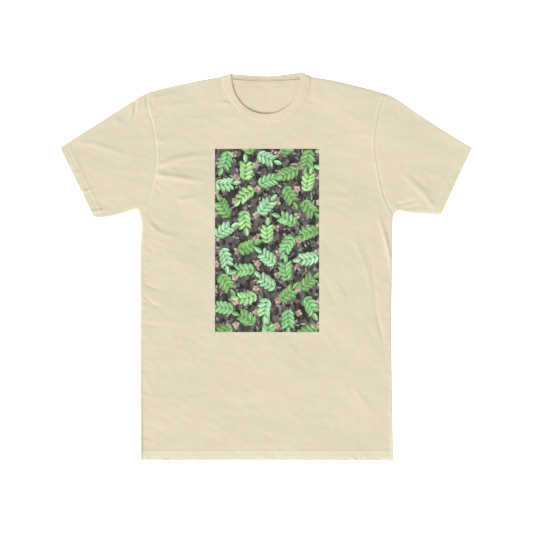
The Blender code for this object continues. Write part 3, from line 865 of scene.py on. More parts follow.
body_edges = [right["shoulder"], right["armhole"], right["side"], hem_line]
body_edges += [left["side"][::-1], left["armhole"][::-1], left["shoulder"][::-1]]
body_guides = [(line, ROLL_RINGS) for line in rolled_lines] + [(hem_line, HEM_ROWS)]
body_guides += [(line, SEAM_ROWS) for line, _ in armholes]
front_guides = [*body_guides, (front_neck, NECK_ROWS), *fold_guides(folds + side_puckers + hem_puckers)]
front_flat, front_triangles = flat_cut(joined(*body_edges, front_neck[::-1]), front_guides)
back_flat, back_triangles = flat_cut(
    joined(*body_edges, back_neck[::-1]), [*body_guides, (back_neck, NECK_ROWS)], BACK_GRID
)
front_layer, back_layer = (1, front_height(front_flat)), (-1, back_height(back_flat))
front_mesh = make_cloth("front_of_body", front_flat, front_triangles, [front_layer], front_flat)
back_mesh = make_cloth("back_of_body", back_flat, back_triangles, [back_layer], back_flat)
front_body = add_piece("front_of_body", front_mesh)
back_body = add_piece("back_of_body", back_mesh)
print("front:", triangle_count(front_mesh), "triangles; back:", triangle_count(back_mesh), "triangles")

# %% [markdown]
# ## The sleeves
#
# A sleeve is one piece of jersey, closed under the arm into a short tube and hemmed at its opening.
# Flattened, its front and back are the same cut twice, so one triangulation serves both, and the two share
# their points where the cloth rolls over. The tube stays open at the armhole and at the hem.

# %% Two sleeves
def sleeve_grain(flat, opening):
    """Grain that runs square to the sleeve's opening."""
    along = (opening[-1] - opening[0]) / np.linalg.norm(opening[-1] - opening[0])
    return np.column_stack([flat @ along, flat @ left_of(along)])


def make_sleeve(name, lines, turn):
    """One sleeve as a flattened tube of cloth, and its flat area."""
    rolled = [lines[n] for n in ("sleeve_top", "underarm", "armpit")]
    outline = joined(rolled[0], lines["opening"], *rolled[1:], lines["armhole"][::-1])
    guides = [(line, ROLL_RINGS) for line in rolled]
    guides += [(lines["armhole"], SEAM_ROWS), (lines["opening"], HEM_ROWS), *fold_guides(folds)]
    flat, triangles = flat_cut(outline[::turn], guides)
    shut = np.array([np.abs(np.vstack(rolled) - p).sum(1).min() < 1e-7 for p in flat])
    layers = [(1, front_height(flat)), (-1, back_height(flat))]
    mesh = make_cloth(name, flat, triangles, layers, sleeve_grain(flat, lines["opening"]), shut)
    return add_piece(name, mesh), 2 * area_of(flat, triangles)


right_sleeve, right_sleeve_area = make_sleeve("sleeve_right", right, 1)
left_sleeve, left_sleeve_area = make_sleeve("sleeve_left", left, -1)
for sleeve, area in ((right_sleeve, right_sleeve_area), (left_sleeve, left_sleeve_area)):
    print(sleeve.name, triangle_count(sleeve.data), "triangles,", round(area, 4), "m2 of jersey")

# %% [markdown]
# ## The ribbed collar
#
# The collar is a strip of rib knit, folded in half along its length and sewn by both raw edges to the neck.
# It is cut shorter than the neck, so it pulls in and stands up at the back. Its section is a flat U that is
# swept round the neck: under the jersey at the seam, up over a low arch to the fold, and back on the
# inside. The ribs are real relief. They repeat along one line, so a Geometry Nodes tree lifts the surface
# in waves along that line.

# %% The collar's two edges
COLLAR_HALF_WIDTH = 0.0655  # of the opening inside the fold
COLLAR_CENTRE_Y = 0.3645
COLLAR_DEPTH = 0.0745
# the collar's upper edge at the back, in pixels
BACK_FOLD_PX = [(231.5, 74.1), (239.0, 74.5), (251.5, 75.4), (267.8, 76.0), (284.0, 74.8), (292.0, 73.6),
                (300.5, 72.5)]
ENDS_LIFTED = 0.12  # share of the front over which its ends turn up to meet the back
SEAM_LIFTS = 4.5  # how fast the seam leaves the shoulder's height
FOLD_HEIGHTS = (0.0098, 0.0088, 0.0072)  # of the fold at the shoulders, in front and at the back
RIB_CLOTH = 0.00062
RIB_AIR = 0.00016  # between the two layers of rib
RIB_PITCH = 0.0021
STATIONS_PER_RIB = 8
UNDER_SEAM = 0.0014  # how far the rib reaches under the jersey


def ring_line(front_part, back_part):
    """The front from right to left and the back from left to right, as one closed ring."""
    return np.vstack([front_part[:-1], back_part[:-1], front_part[:1]])


def seam_ring():
    """The collar's seam, at the height of the cloth that it is sewn to."""
    front_xy = neck_seam(TURNS)
    back_xy = back_curve(TURNS[::-1])
    lift = np.minimum(1, SEAM_LIFTS * np.sqrt(np.maximum(0, np.sin(math.pi * TURNS))))
    front_z = SEAM_HEIGHT + lift * (front_height(front_xy) - SEAM_HEIGHT - CLOTH)
    back_z = SEAM_HEIGHT + lift * (back_height(back_xy) - SEAM_HEIGHT + CLOTH)
    return ring_line(np.column_stack([front_xy, front_z]), np.column_stack([back_xy, back_z]))


def fold_ring():
    """The collar's folded free edge."""
    shoulder, front, back = FOLD_HEIGHTS
    rise = np.sin(math.pi * TURNS)
    front_xy = front_curve(COLLAR_HALF_WIDTH, COLLAR_DEPTH, COLLAR_CENTRE_Y, TURNS)
    back_x = COLLAR_HALF_WIDTH * np.cos(math.pi * TURNS)
    back_y = np.interp(back_x, *smooth(at(BACK_FOLD_PX), 0.001).T)
    front_xy[:, 1] += (back_y[-1] - COLLAR_CENTRE_Y) * ease(1 - TURNS / ENDS_LIFTED)
    front_xy[:, 1] += (back_y[0] - COLLAR_CENTRE_Y) * ease(1 - (1 - TURNS) / ENDS_LIFTED)
    front_part = np.column_stack([front_xy, shoulder + (front - shoulder) * rise])
    back_part = np.column_stack([back_x, back_y, shoulder + (back - shoulder) * rise])
    return ring_line(front_part, back_part)


def evenly_round(ring, partner, count):
    """Both closed rings again with points that are evenly spaced along the first one, left open."""
    along = distances_along(ring)
    wanted = np.arange(count) / count * along[-1]
    return spots_along(ring, along, wanted), spots_along(partner, along, wanted), along[-1]


rib_count = round(distances_along(seam_ring())[-1] / RIB_PITCH)
seam_line, fold_line, seam_length = evenly_round(seam_ring(), fold_ring(), rib_count * STATIONS_PER_RIB)
collar_widths = np.linalg.norm(fold_line - seam_line, axis=1)
print(rib_count, "ribs; the collar's widths in mm:", (collar_widths.min() * 1000).round(1), "to",
      (collar_widths.max() * 1000).round(1))

# %% The collar's section, swept round
FRONT_ARCH = 0.00035
BACK_ARCH = 0.0003
BACK_FROM_Y = 0.345
BACK_OVER = (0.012, 0.02)  # how wide the change to the back's arch is, along and across the shirt
ARCH_POWER = 0.6  # below 1 the arch has a broad top
DROP_OVER = 0.0020  # how far from its edge the rib has come up again
SEAM_DROP = 0.0009  # how far the rib dips under the jersey
ROW_GRAIN = 0.002  # metres of grain from row to row
OUTER_ROWS = 9
FOLD_ROWS = 5
INNER_ROWS = 5


def section_rows(half, fold_half, steps, round_steps):
    """Rows of a U: (share of the width, offset from the middle, distance past the fold's centre)."""
    upper = [(share, half, 0.0) for share in np.linspace(0, 1, steps)]
    turn = np.linspace(90, -90, round_steps + 2)[1:-1]
    bend = [(1.0, fold_half * math.sin(math.radians(a)), fold_half * math.cos(math.radians(a))) for a in turn]
    lower = [(share, -half, 0.0) for share in np.linspace(1, 0, steps)]
    return upper + bend + lower


def swept_collar():
    """The points of the collar, row by row, with how strongly the ribs lift each row."""
    tangent = np.roll(seam_line, -1, axis=0) - np.roll(seam_line, 1, axis=0)
    tangent /= np.linalg.norm(tangent, axis=1)[:, None]
    across = (fold_line - seam_line) / collar_widths[:, None]
    normal = np.cross(tangent, across)
    normal /= np.linalg.norm(normal, axis=1)[:, None]
    at_back = ease((seam_line[:, 1] - BACK_FROM_Y) / BACK_OVER[0])
    at_back = at_back * ease((NECK_HALF_WIDTH - np.abs(seam_line[:, 0])) / BACK_OVER[1])
    arch_height = FRONT_ARCH + (BACK_ARCH - FRONT_ARCH) * at_back
    half = RIB_CLOTH + RIB_AIR / 2
    outer = section_rows(half, half, OUTER_ROWS, FOLD_ROWS)
    inner = section_rows(RIB_AIR / 2, RIB_AIR / 2, INNER_ROWS, 1)[::-1]
    rows, lifts = [], []
    for number, (share, offset, past) in enumerate(outer + inner):
        reach = -UNDER_SEAM + share * (collar_widths + UNDER_SEAM - half)
        drop = SEAM_DROP * (1 - ease((reach + UNDER_SEAM) / DROP_OVER))
        arch = arch_height * np.sin(math.pi * np.clip(reach / collar_widths, 0, 1)) ** ARCH_POWER
        height = (offset + arch - drop)[:, None]
        rows.append(seam_line + across * (reach + past)[:, None] + normal * height)
        lifts.append(np.full(len(seam_line), 1.0 if number < len(outer) and share > 0 else 0.0))
    return rows, lifts


def ring_faces(rows, count):
    """The faces of a closed mesh from rows that each run right round."""
    faces = []
    for r in range(rows):
        a, b = r * count, (r + 1) % rows * count
        faces += [(a + k, a + (k + 1) % count, b + (k + 1) % count, b + k) for k in range(count)]
    return faces


collar_rows, collar_lifts = swept_collar()
along_seam = np.arange(len(seam_line)) / len(seam_line) * rib_count * RIB_PITCH
row_count = len(collar_rows)
collar_along = np.tile(along_seam, row_count)
collar_grain = np.column_stack([collar_along, np.repeat(ROW_GRAIN * np.arange(row_count), len(along_seam))])
collar_mesh = build_mesh(
    "rib_collar", np.vstack(collar_rows), ring_faces(row_count, len(along_seam)), collar_grain,
    {"along": collar_along, "lift": np.concatenate(collar_lifts)},
)
collar = add_piece("rib_collar", collar_mesh)
print("collar:", triangle_count(collar_mesh), "triangles before the ribs are lifted")

# %% [markdown]
# ## Node trees
#
# Two things repeat on this shirt: the ribs of the collar and the stitches of its hems and tape. Each gets
# one Geometry Nodes tree with named sizes. A tree is attached as a modifier, its inputs are set, and the
# result is kept as a plain mesh, so that nothing is left to evaluate later.

# %% Small helpers for node trees
def feed(tree, socket, value):
    """Gives an input either a link or a plain value."""
    if isinstance(value, bpy.types.NodeSocket):
        tree.links.new(value, socket)
    else:
        socket.default_value = value


def add_node(tree, kind, inputs=(), **settings):
    """A new node with its settings, and a link or a plain value on each input that is named."""
    made = tree.nodes.new(kind)
    for name, value in settings.items():
        setattr(made, name, value)
    for name, value in dict(inputs).items():
        feed(tree, made.inputs[name], value)
    return made.outputs


def calculate(tree, operation, *values):
    """One Math node; returns its output."""
    return add_node(tree, "ShaderNodeMath", enumerate(values), operation=operation)[0]


def scaled(tree, vector, scale):
    """A vector made longer or shorter."""
    inputs = {"Vector": vector, "Scale": scale}
    return add_node(tree, "ShaderNodeVectorMath", inputs, operation="SCALE")["Vector"]


def new_tree(name, inputs):
    """A Geometry Nodes tree with named inputs (label, socket type, default), and what it is given."""
    tree = bpy.data.node_groups.new(name, "GeometryNodeTree")
    for label, kind, default in [("Geometry", "Geometry", None), *inputs]:
        socket = tree.interface.new_socket(label, in_out="INPUT", socket_type="NodeSocket" + kind)
        if default is not None:
            socket.default_value = default
    tree.interface.new_socket("Geometry", in_out="OUTPUT", socket_type="NodeSocketGeometry")
    return tree, add_node(tree, "NodeGroupInput")


def end_tree(tree, geometry, material):
    """Makes a tree's geometry real and gives it its material."""
    real = add_node(tree, "GeometryNodeRealizeInstances", {"Geometry": geometry})["Geometry"]
    painted = add_node(tree, "GeometryNodeSetMaterial", {"Geometry": real, "Material": material})["Geometry"]
    add_node(tree, "NodeGroupOutput", {"Geometry": painted})
    return tree


def run_tree(thing, tree, values):
    """Evaluates a tree on an object and keeps the result as its plain mesh."""
    modifier = thing.modifiers.new(tree.name, "NODES")
    modifier.node_group = tree
    for item in tree.interface.items_tree:
        if item.item_type == "SOCKET" and item.in_out == "INPUT" and item.name in values:
            modifier[item.identifier] = values[item.name]
    bpy.context.view_layer.update()
    evaluated = thing.evaluated_get(bpy.context.evaluated_depsgraph_get())
    mesh = bpy.data.meshes.new_from_object(evaluated)
    thing.modifiers.remove(modifier)
    old = thing.data
    thing.data = mesh
    bpy.data.meshes.remove(old)
    mesh.name = thing.name
    return mesh


print("helpers for node trees are ready")

# %% [markdown]
# ## Finishes
#
# Jersey is rows of small V-shaped loops: ribs of them run up the cloth and rows run across. The loops are
# far finer than a pixel of the photo, yet they give the cloth its soft, matte look close by. So the knit is
# drawn as bump, in metres, on the grain map of each piece, with painted shade in the gaps between the loops.
# The yarn's tone also drifts a little, as undyed cotton's does, and short fibres catch light at a flat
# angle, which is what sheen is for.

# %% The knit of jersey and rib
KNIT = (0.00085, 0.00070)  # width and height of a loop
RIB_KNIT = (RIB_PITCH / 2, 0.00075)
KNIT_DEPTH, RIB_KNIT_DEPTH = 0.00016, 0.00012
KNIT_LOOKS = (0.92, 0.12)  # roughness and sheen
SHEEN_ROUGHNESS = 0.45
LOOP_WAVE = (0.42, 0.58)  # gain and offset of the height along a loop
# painted shade: how much darker the gaps between the loops are than their tops; and the tone's offset
LOOP_PAINTED_SHADE, TONE_OFFSET = 0.15, 0.05
LOOP_BUMP = 0.5
# how much lighter the cloth gets by its extra layers and by the painted glow and highlight
LAYERS_AND_PAINTED_GLOW_LIGHTER = 0.31
DRIFT = (22.0, 0.28)  # cycles in a metre and strength
FIBRES = (900.0, 0.15)
UNEVEN = (135.0, 0.00016, 1.0)  # cycles in a metre, and depth and strength of the bump
FUZZ = (1500.0, 0.00015, 0.25)
CREAM = ((0.70, 0.625, 0.455, 1.0), (0.90, 0.819, 0.635, 1.0))  # dark and light
RIB_CREAM = ((0.71, 0.635, 0.466, 1.0), (0.93, 0.852, 0.666, 1.0))


def new_finish(name, roughness, sheen):
    """A cloth material, with its node tree and its surface shader."""
    finish = new_material(name, {
        "Roughness": roughness, "Specular IOR Level": 0.25,
        "Sheen Weight": sheen, "Sheen Roughness": SHEEN_ROUGHNESS,
    })
    return finish, finish.node_tree, finish.node_tree.nodes["Principled BSDF"]


def grain_of(tree):
    """The two numbers of the grain map."""
    grain = add_node(tree, "ShaderNodeUVMap", uv_map="grain")["UV"]
    parts = add_node(tree, "ShaderNodeSeparateXYZ", {"Vector": grain})
    return parts["X"], parts["Y"]


def knit_height(tree, wale, course):
    """The height of V-shaped loops, from 0 between the yarns to 1 on top of them."""
    x, y = grain_of(tree)
    column = calculate(tree, "FRACT", calculate(tree, "DIVIDE", x, wale))
    from_middle = calculate(tree, "ABSOLUTE", calculate(tree, "SUBTRACT", column, 0.5))
    off_middle = calculate(tree, "MULTIPLY", from_middle, 2.0)
    leg = calculate(tree, "SINE", calculate(tree, "MULTIPLY", off_middle, math.pi))
    slant = calculate(tree, "MULTIPLY", off_middle, 0.5)
    row = calculate(tree, "SUBTRACT", calculate(tree, "DIVIDE", y, course), slant)
    loop = calculate(tree, "COSINE", calculate(tree, "MULTIPLY", row, math.tau))
    return calculate(tree, "MULTIPLY", leg, calculate(tree, "MULTIPLY_ADD", loop, *LOOP_WAVE))


def place_of(tree, stretch):
    """The place on the object, in metres, with each axis stretched."""
    place = add_node(tree, "ShaderNodeTexCoord")["Object"]
    return add_node(tree, "ShaderNodeMapping", {"Scale": stretch, "Vector": place})["Vector"]


def noise(tree, scale, detail=3.0, stretch=(1.0, 1.0, 1.0)):
    """Noise on the object's own coordinates, in cycles per metre."""
    inputs = {"Scale": scale, "Detail": detail, "Vector": place_of(tree, stretch)}
    return add_node(tree, "ShaderNodeTexNoise", inputs)["Fac"]


def paint_between(tree, surface, share, low, high):
    """Gives the surface a colour between two, by a share."""
    mix = tree.nodes.new("ShaderNodeMix")
    mix.data_type = "RGBA"
    mix.clamp_factor = True
    colours = [socket for socket in mix.inputs if socket.type == "RGBA"]
    for socket, value in zip((mix.inputs["Factor"], *colours), (share, low, high)):
        feed(tree, socket, value)
    mixed = next(socket for socket in mix.outputs if socket.type == "RGBA")
    feed(tree, surface.inputs["Base Color"], mixed)


def add_bump(tree, surface, height, distance, strength):
    """Feeds a height into the shader's normal, on top of the bump that is there already."""
    inputs = {"Distance": distance, "Strength": strength, "Height": height}
    if surface.inputs["Normal"].is_linked:
        inputs["Normal"] = surface.inputs["Normal"].links[0].from_socket
    feed(tree, surface.inputs["Normal"], add_node(tree, "ShaderNodeBump", inputs)["Normal"])


def attribute(tree, name):
    """A number that the mesh carries."""
    return add_node(tree, "ShaderNodeAttribute", attribute_name=name)["Fac"]


def knit_finish(name, colours, loop_size, depth):
    """Cotton knit: loops with painted shade between them, a drifting tone and fine fibres."""
    finish, tree, surface = new_finish(name, *KNIT_LOOKS)
    loops = knit_height(tree, *loop_size)
    drift = calculate(tree, "MULTIPLY", noise(tree, DRIFT[0]), DRIFT[1])
    fibres = calculate(tree, "MULTIPLY", noise(tree, FIBRES[0], 2.0, (1.0, 0.25, 1.0)), FIBRES[1])
    # painted shade: darker in the gaps between the loops, lighter on their tops
    tone = calculate(tree, "ADD", calculate(tree, "MULTIPLY_ADD", loops, LOOP_PAINTED_SHADE, drift), fibres)
    tone = calculate(tree, "SUBTRACT", tone, TONE_OFFSET)
    # lighter for extra layers, and painted light: glow at the rolled edges and highlight on the sleeve tops
    tone = calculate(tree, "MULTIPLY_ADD", attribute(tree, "backed"), LAYERS_AND_PAINTED_GLOW_LIGHTER, tone)
    paint_between(tree, surface, tone, *colours)
    for scale, depth_below, strength in (UNEVEN, FUZZ):
        add_bump(tree, surface, noise(tree, scale, 2.0), depth_below, strength)
    add_bump(tree, surface, loops, depth, LOOP_BUMP)
    return finish


jersey = knit_finish("cream_jersey", CREAM, KNIT, KNIT_DEPTH)
rib_knit = knit_finish("cream_rib", RIB_CREAM, RIB_KNIT, RIB_KNIT_DEPTH)
for body in (front_body, back_body, right_sleeve, left_sleeve):
    body.data.materials.append(jersey)
print("finishes:", jersey.name, rib_knit.name)

# %% Ribs lifted on the collar
RIB_DEPTH = 0.00022


def rib_tree():
    """Lifts a surface in waves along its own 'along' number."""
    tree, given = new_tree("ribs", [
        ("Rib pitch", "Float", RIB_PITCH), ("Rib depth", "Float", RIB_DEPTH), ("Knit", "Material", None),
    ])
    along, lift = [
        add_node(tree, "GeometryNodeInputNamedAttribute", {"Name": name}, data_type="FLOAT")["Attribute"]
        for name in ("along", "lift")
    ]
    turns = calculate(tree, "DIVIDE", along, given["Rib pitch"])
    wave = calculate(tree, "COSINE", calculate(tree, "MULTIPLY", turns, math.tau))
    height = calculate(tree, "MULTIPLY", calculate(tree, "MULTIPLY", wave, given["Rib depth"]), lift)
    offset = scaled(tree, add_node(tree, "GeometryNodeInputNormal")["Normal"], height)
    moved = add_node(tree, "GeometryNodeSetPosition", {"Geometry": given["Geometry"], "Offset": offset})
    return end_tree(tree, moved["Geometry"], given["Knit"])


collar_mesh = run_tree(collar, rib_tree(), {"Rib pitch": RIB_PITCH, "Rib depth": RIB_DEPTH, "Knit": rib_knit})
print("collar:", triangle_count(collar_mesh), "triangles,", [m.name for m in collar_mesh.materials])

# %% [markdown]
# ## The tape in the neck
#
# A narrow tape covers the back neck seam on the inside, where the collar would scratch. It is a strip of
# twill that follows the seam, sewn along both edges, and it lies on the inside of the back panel.

# %% Neck tape
TAPE_HALF_LENGTH = 0.066
TAPE_WIDTH = 0.0100
TAPE_THICKNESS = 0.0009
TAPE_BELOW_SEAM = 0.0016
TAPE_POINTS = 90  # along its length
TAPE_WAVE = (0.0002, 90)  # height, and radians in a metre
TWILL = (0.0007, 0.0005)  # the pitch of its ridges, along and across
TWILL_CREAM = ((0.68, 0.60, 0.44, 1.0), (0.79, 0.71, 0.54, 1.0))
TWILL_LOOKS = (0.85, 0.1)  # roughness and sheen
TWILL_DRIFT = (60.0, 0.5)  # cycles in a metre and strength
# painted shade: how much darker the grooves between the twill's ridges are
TWILL_PAINTED_SHADE = 0.4
TWILL_BUMP = (0.00012, 0.6)  # depth and strength
# share of the width, and share of the thickness: a ridge, the groove of the first stitches, and the flat rest
TAPE_SECTION = [(0.0, 0.5), (0.04, 0.9), (0.12, 1.25), (0.19, 1.2), (0.27, 0.75), (0.35, 1.15), (0.5, 1.1),
                (0.8, 1.0), (0.93, 0.8), (1.0, 0.4)]
TAPE_STITCHES = (0.27, 0.88)  # shares of the width


def tape_line(off_seam):
    """A line along the tape, at a distance below the back neck seam."""
    x = np.linspace(-TAPE_HALF_LENGTH, TAPE_HALF_LENGTH, TAPE_POINTS)
    y = NECK_Y - BACK_NECK_DEPTH * (1 - (x / NECK_HALF_WIDTH) ** 2) - off_seam
    return np.column_stack([x, y])


def tape_row(share, face=1):
    """A row of points along the tape, on its upper face where face is 1."""
    line = tape_line(TAPE_BELOW_SEAM + share * TAPE_WIDTH)
    puff = np.interp(share, *np.transpose(TAPE_SECTION))
    lying = back_height(line) + CLOTH + TAPE_THICKNESS * (0.5 + face * (puff - 0.45))
    return np.column_stack([line, lying + TAPE_WAVE[0] * np.sin(line[:, 0] * TAPE_WAVE[1] + share * 2)])


def tape_piece():
    """The tape as a thin closed strip with rounded edges."""
    rows, grain = [], []
    for face, section in ((1, TAPE_SECTION), (-1, TAPE_SECTION[::-1])):
        for share, _ in section:
            row = tape_row(share, face)
            rows.append(row)
            grain.append(np.column_stack([row[:, 0], np.full(len(row), share * TAPE_WIDTH)]))
    count, turns = TAPE_POINTS, len(rows)
    faces = []
    for r in range(turns):
        a, b = r * count, (r + 1) % turns * count
        faces += [(a + k + 1, a + k, b + k, b + k + 1) for k in range(count - 1)]
    faces.append(tuple(r * count for r in range(turns))[::-1])
    faces.append(tuple(r * count + count - 1 for r in range(turns)))
    return add_piece("tape_in_neck", build_mesh("tape", np.vstack(rows), faces, np.vstack(grain), {}, 60))


def twill_finish():
    """A close twill: fine slanting ridges, with painted shade in the grooves between them."""
    finish, tree, surface = new_finish("cotton_twill", *TWILL_LOOKS)
    x, y = (calculate(tree, "DIVIDE", number, pitch) for number, pitch in zip(grain_of(tree), TWILL))
    wave = calculate(tree, "SINE", calculate(tree, "MULTIPLY", calculate(tree, "ADD", x, y), math.tau))
    ridge = calculate(tree, "MULTIPLY_ADD", wave, 0.5, 0.5)
    # painted shade: the grooves darker than the ridges
    tone = calculate(tree, "MULTIPLY", ridge, TWILL_PAINTED_SHADE)
    tone = calculate(tree, "MULTIPLY_ADD", noise(tree, TWILL_DRIFT[0]), TWILL_DRIFT[1], tone)
    paint_between(tree, surface, tone, *TWILL_CREAM)
    add_bump(tree, surface, ridge, *TWILL_BUMP)
    return finish


tape = tape_piece()
tape.data.materials.append(twill_finish())
print("tape:", triangle_count(tape.data), "triangles")

# %% [markdown]
# ## Stitches
#
# The hems are sewn with two needles, which leaves two even rows of stitches outside. One row holds the
# collar's allowances down, and one runs along each edge of the tape. A stitch is a short length of thread
# that dips into the cloth at both ends. The tree below turns a line into points, puts a small long bead on
# each, and makes them real.

# %% One tree for every row of stitches
STITCH_PITCH = 0.0031
STITCH_LENGTH = 0.0026
THREAD_WIDTH = 0.00052
STITCH_SEED = 7
BEAD = {"Segments": 6, "Rings": 5, "Radius": 0.5}
STITCH_SIZES = (0.93, 1.05)  # least and most, as a share of the full size
THREAD_CREAM = ((0.70, 0.625, 0.46, 1.0), (0.84, 0.765, 0.59, 1.0))
THREAD_LOOKS = (0.6, 0.1)  # roughness and sheen
THREAD_DRIFT, THREAD_PLIES = 500.0, 4000.0  # cycles in a metre
THREAD_BUMP = (0.0001, 0.4)  # depth and strength


def stitch_tree():
    """Lines in, rows of stitches out."""
    tree, given = new_tree("stitches", [
        ("Stitch pitch", "Float", STITCH_PITCH), ("Stitch length", "Float", STITCH_LENGTH),
        ("Thread width", "Float", THREAD_WIDTH), ("Seed", "Int", STITCH_SEED), ("Thread", "Material", None),
    ])
    curve = add_node(tree, "GeometryNodeMeshToCurve", {"Mesh": given["Geometry"]})["Curve"]
    points = add_node(
        tree, "GeometryNodeCurveToPoints", {"Curve": curve, "Length": given["Stitch pitch"]}, mode="LENGTH"
    )
    bead = add_node(tree, "GeometryNodeMeshUVSphere", BEAD)["Mesh"]
    smoothed = add_node(tree, "GeometryNodeSetShadeSmooth", {"Geometry": bead})["Geometry"]
    width = given["Thread width"]
    sides = {"X": width, "Y": width, "Z": given["Stitch length"]}
    size = add_node(tree, "ShaderNodeCombineXYZ", sides)["Vector"]
    limits = {2: STITCH_SIZES[0], 3: STITCH_SIZES[1], "Seed": given["Seed"]}
    vary = add_node(tree, "FunctionNodeRandomValue", limits, data_type="FLOAT")[1]
    placed = add_node(tree, "GeometryNodeInstanceOnPoints", {
        "Points": points["Points"], "Instance": smoothed, "Rotation": points["Rotation"],
        "Scale": scaled(tree, size, vary),
    })["Instances"]
    return end_tree(tree, placed, given["Thread"])


def thread_finish():
    """Sewing thread: smoother and a little shinier than the knit."""
    finish, tree, surface = new_finish("cream_thread", *THREAD_LOOKS)
    paint_between(tree, surface, noise(tree, THREAD_DRIFT), *THREAD_CREAM)
    add_bump(tree, surface, noise(tree, THREAD_PLIES, 1.0, (1.0, 0.4, 1.0)), *THREAD_BUMP)
    return finish


stitching = stitch_tree()
thread = thread_finish()


def stitch_piece(name, lines):
    """Rows of stitches along some lines, as one plain mesh."""
    points, edges = [], []
    for line in lines:
        start = len(points)
        points += line.tolist()
        edges += [(start + k, start + k + 1) for k in range(len(line) - 1)]
    mesh = bpy.data.meshes.new(name)
    mesh.from_pydata(points, edges, [])
    made = add_piece(name, mesh)
    run_tree(made, stitching, {
        "Stitch pitch": STITCH_PITCH, "Stitch length": STITCH_LENGTH, "Thread width": THREAD_WIDTH,
        "Seed": STITCH_SEED, "Thread": thread,
    })
    return made


print("stitch pitch", STITCH_PITCH * 1000, "mm")

# %% Where the stitches run
THREAD_SUNK = 0.00008
HEM_STITCH_ROWS = (HEM_DEPTH - FIRST_STITCHES, HEM_DEPTH - FIRST_STITCHES - STITCH_GAP)
SHIRT_MIDDLE = np.array([0.0, 0.0])
SLEEVE_MIDDLES = np.array([(-0.2, 0.2), (0.2, 0.2)])  # roughly, right and left
OFF_SHOULDERS = 0.004  # how far from a rolled edge the collar's row stops


def inward_row(line, depth, towards):
    """A line moved sideways by a depth, to the side where a point lies."""
    sides = np.split(beside(line, depth), 2)
    return min(sides, key=lambda row: np.linalg.norm(row.mean(0) - towards))[1:-1]


def laid_on(row, side):
    """A flat row laid on the outer face of the front, 1, or of the back, -1."""
    height = front_height(row) if side > 0 else back_height(row)
    return np.column_stack([row, height - side * THREAD_SUNK])


def hem_stitches(name, line, towards):
    """Both stitch rows of a hem, on the front and on the back."""
    rows = [inward_row(line, depth, towards) for depth in HEM_STITCH_ROWS]
    return stitch_piece(name, [laid_on(row, side) for side in (1, -1) for row in rows])


body_stitches = hem_stitches("hem_stitches", hem_line, SHIRT_MIDDLE)
right_stitches = hem_stitches("right_sleeve_stitches", right["opening"], SLEEVE_MIDDLES[0])
left_stitches = hem_stitches("left_sleeve_stitches", left["opening"], SLEEVE_MIDDLES[1])
collar_row = inward_row(front_neck, COLLAR_STITCHES, SHIRT_MIDDLE)
collar_row = collar_row[distance_to(collar_row, rolled_lines) > OFF_SHOULDERS]
collar_stitches = stitch_piece("collar_stitches", [laid_on(collar_row, 1)])
tape_stitches = stitch_piece("tape_stitches", [tape_row(share)[2:-2] for share in TAPE_STITCHES])
for made in (body_stitches, right_stitches, left_stitches, collar_stitches, tape_stitches):
    print(made.name, triangle_count(made.data), "triangles")

# %% [markdown]
# ## The print
#
# The chest carries a printed panel: bright greens on a dark ground, with some tan. This one is a plain
# botanical repeat. Sprigs with paired leaves are tossed over a lattice, each turned its own way, with
# clusters of berries and short dashes between them. The ink is a thin film on the cloth, so it is cut as a
# mosaic of leaf, berry and ground faces that follows the folds, and every face keeps its own ink.

# %% Leaves, berries and dashes
PRINT_SIZE = (0.1976, 0.3477)
PRINT_CENTRE = np.array((0.0019, 0.0494))
SPRIG_PITCH = np.array((0.0395, 0.0470))
SPRIG_NODES = 4
NODE_STEP = 0.0080
LEAF_SIZE = (0.0172, 0.0086)
LEAF_TURN = math.radians(50)
STEM_WIDTH = 0.0012
BERRY_SIZE = 0.0062
DASH_SIZE = (0.0080, 0.0028)
DASHES = 420
GREENS = [(0.42, 0.77, 0.30), (0.31, 0.66, 0.27), (0.24, 0.50, 0.17), (0.42, 0.80, 0.43)]
STEM_GREEN = (0.17, 0.33, 0.14)
GROUND = (0.052, 0.048, 0.045)
DASH_INKS = [(0.40, 0.40, 0.34), (0.22, 0.21, 0.19), (0.30, 0.33, 0.26), (0.52, 0.46, 0.38)]
TANS = [(0.50, 0.36, 0.28), (0.62, 0.47, 0.37), (0.38, 0.27, 0.21)]

LEAF_TONES = (1.12, 0.66, 1.35)  # of its light half, its dark half and its midrib, against its ink
LEAF_POINTED, STROKE_POINTED = 1.2, 0.8
LEAF_INKS, LEAF_SIZES = (0.8, 1.12), (0.9, 1.05)  # least and most, as shares
SMALLER_AWAY = (0.08, 1.5)  # what a leaf loses per node away from the widest place, and where that is
TIP_SIZE = 0.95
ROOT_STEP = 0.6  # share of a step from a stem's foot to its first leaves
SPRIG_BEND, SPOT_SHIFT = 0.16, 0.0025  # at most, in radians a node and in metres
CLUSTER = (0.62, 0.92)  # how far out its berries lie, and how round they are
MIDRIB_WIDTH = 0.0006
BERRY_LIGHT = ((-0.0008, 0.0009), (0.0016, 0.0012), 1.45)  # where the light spot lies, its size and its tone

motifs = []  # each is (flat points, ink): later ones lie on top
print_low = PRINT_CENTRE - np.array(PRINT_SIZE) / 2
print_high = PRINT_CENTRE + np.array(PRINT_SIZE) / 2


def oval(centre, turn, length, width, sharp, count=16):
    """A closed oval that ends in points where sharp is above 1."""
    t = np.linspace(0, math.tau, count, endpoint=False)
    along = np.cos(t) * length / 2
    across = np.sign(np.sin(t)) * np.abs(np.sin(t)) ** sharp * width / 2
    return centre + along[:, None] * heading(turn) + across[:, None] * heading(turn + math.pi / 2)


def shaded_ink(ink, share):
    """An ink made lighter or darker."""
    return tuple(min(0.92, share * c) for c in ink)


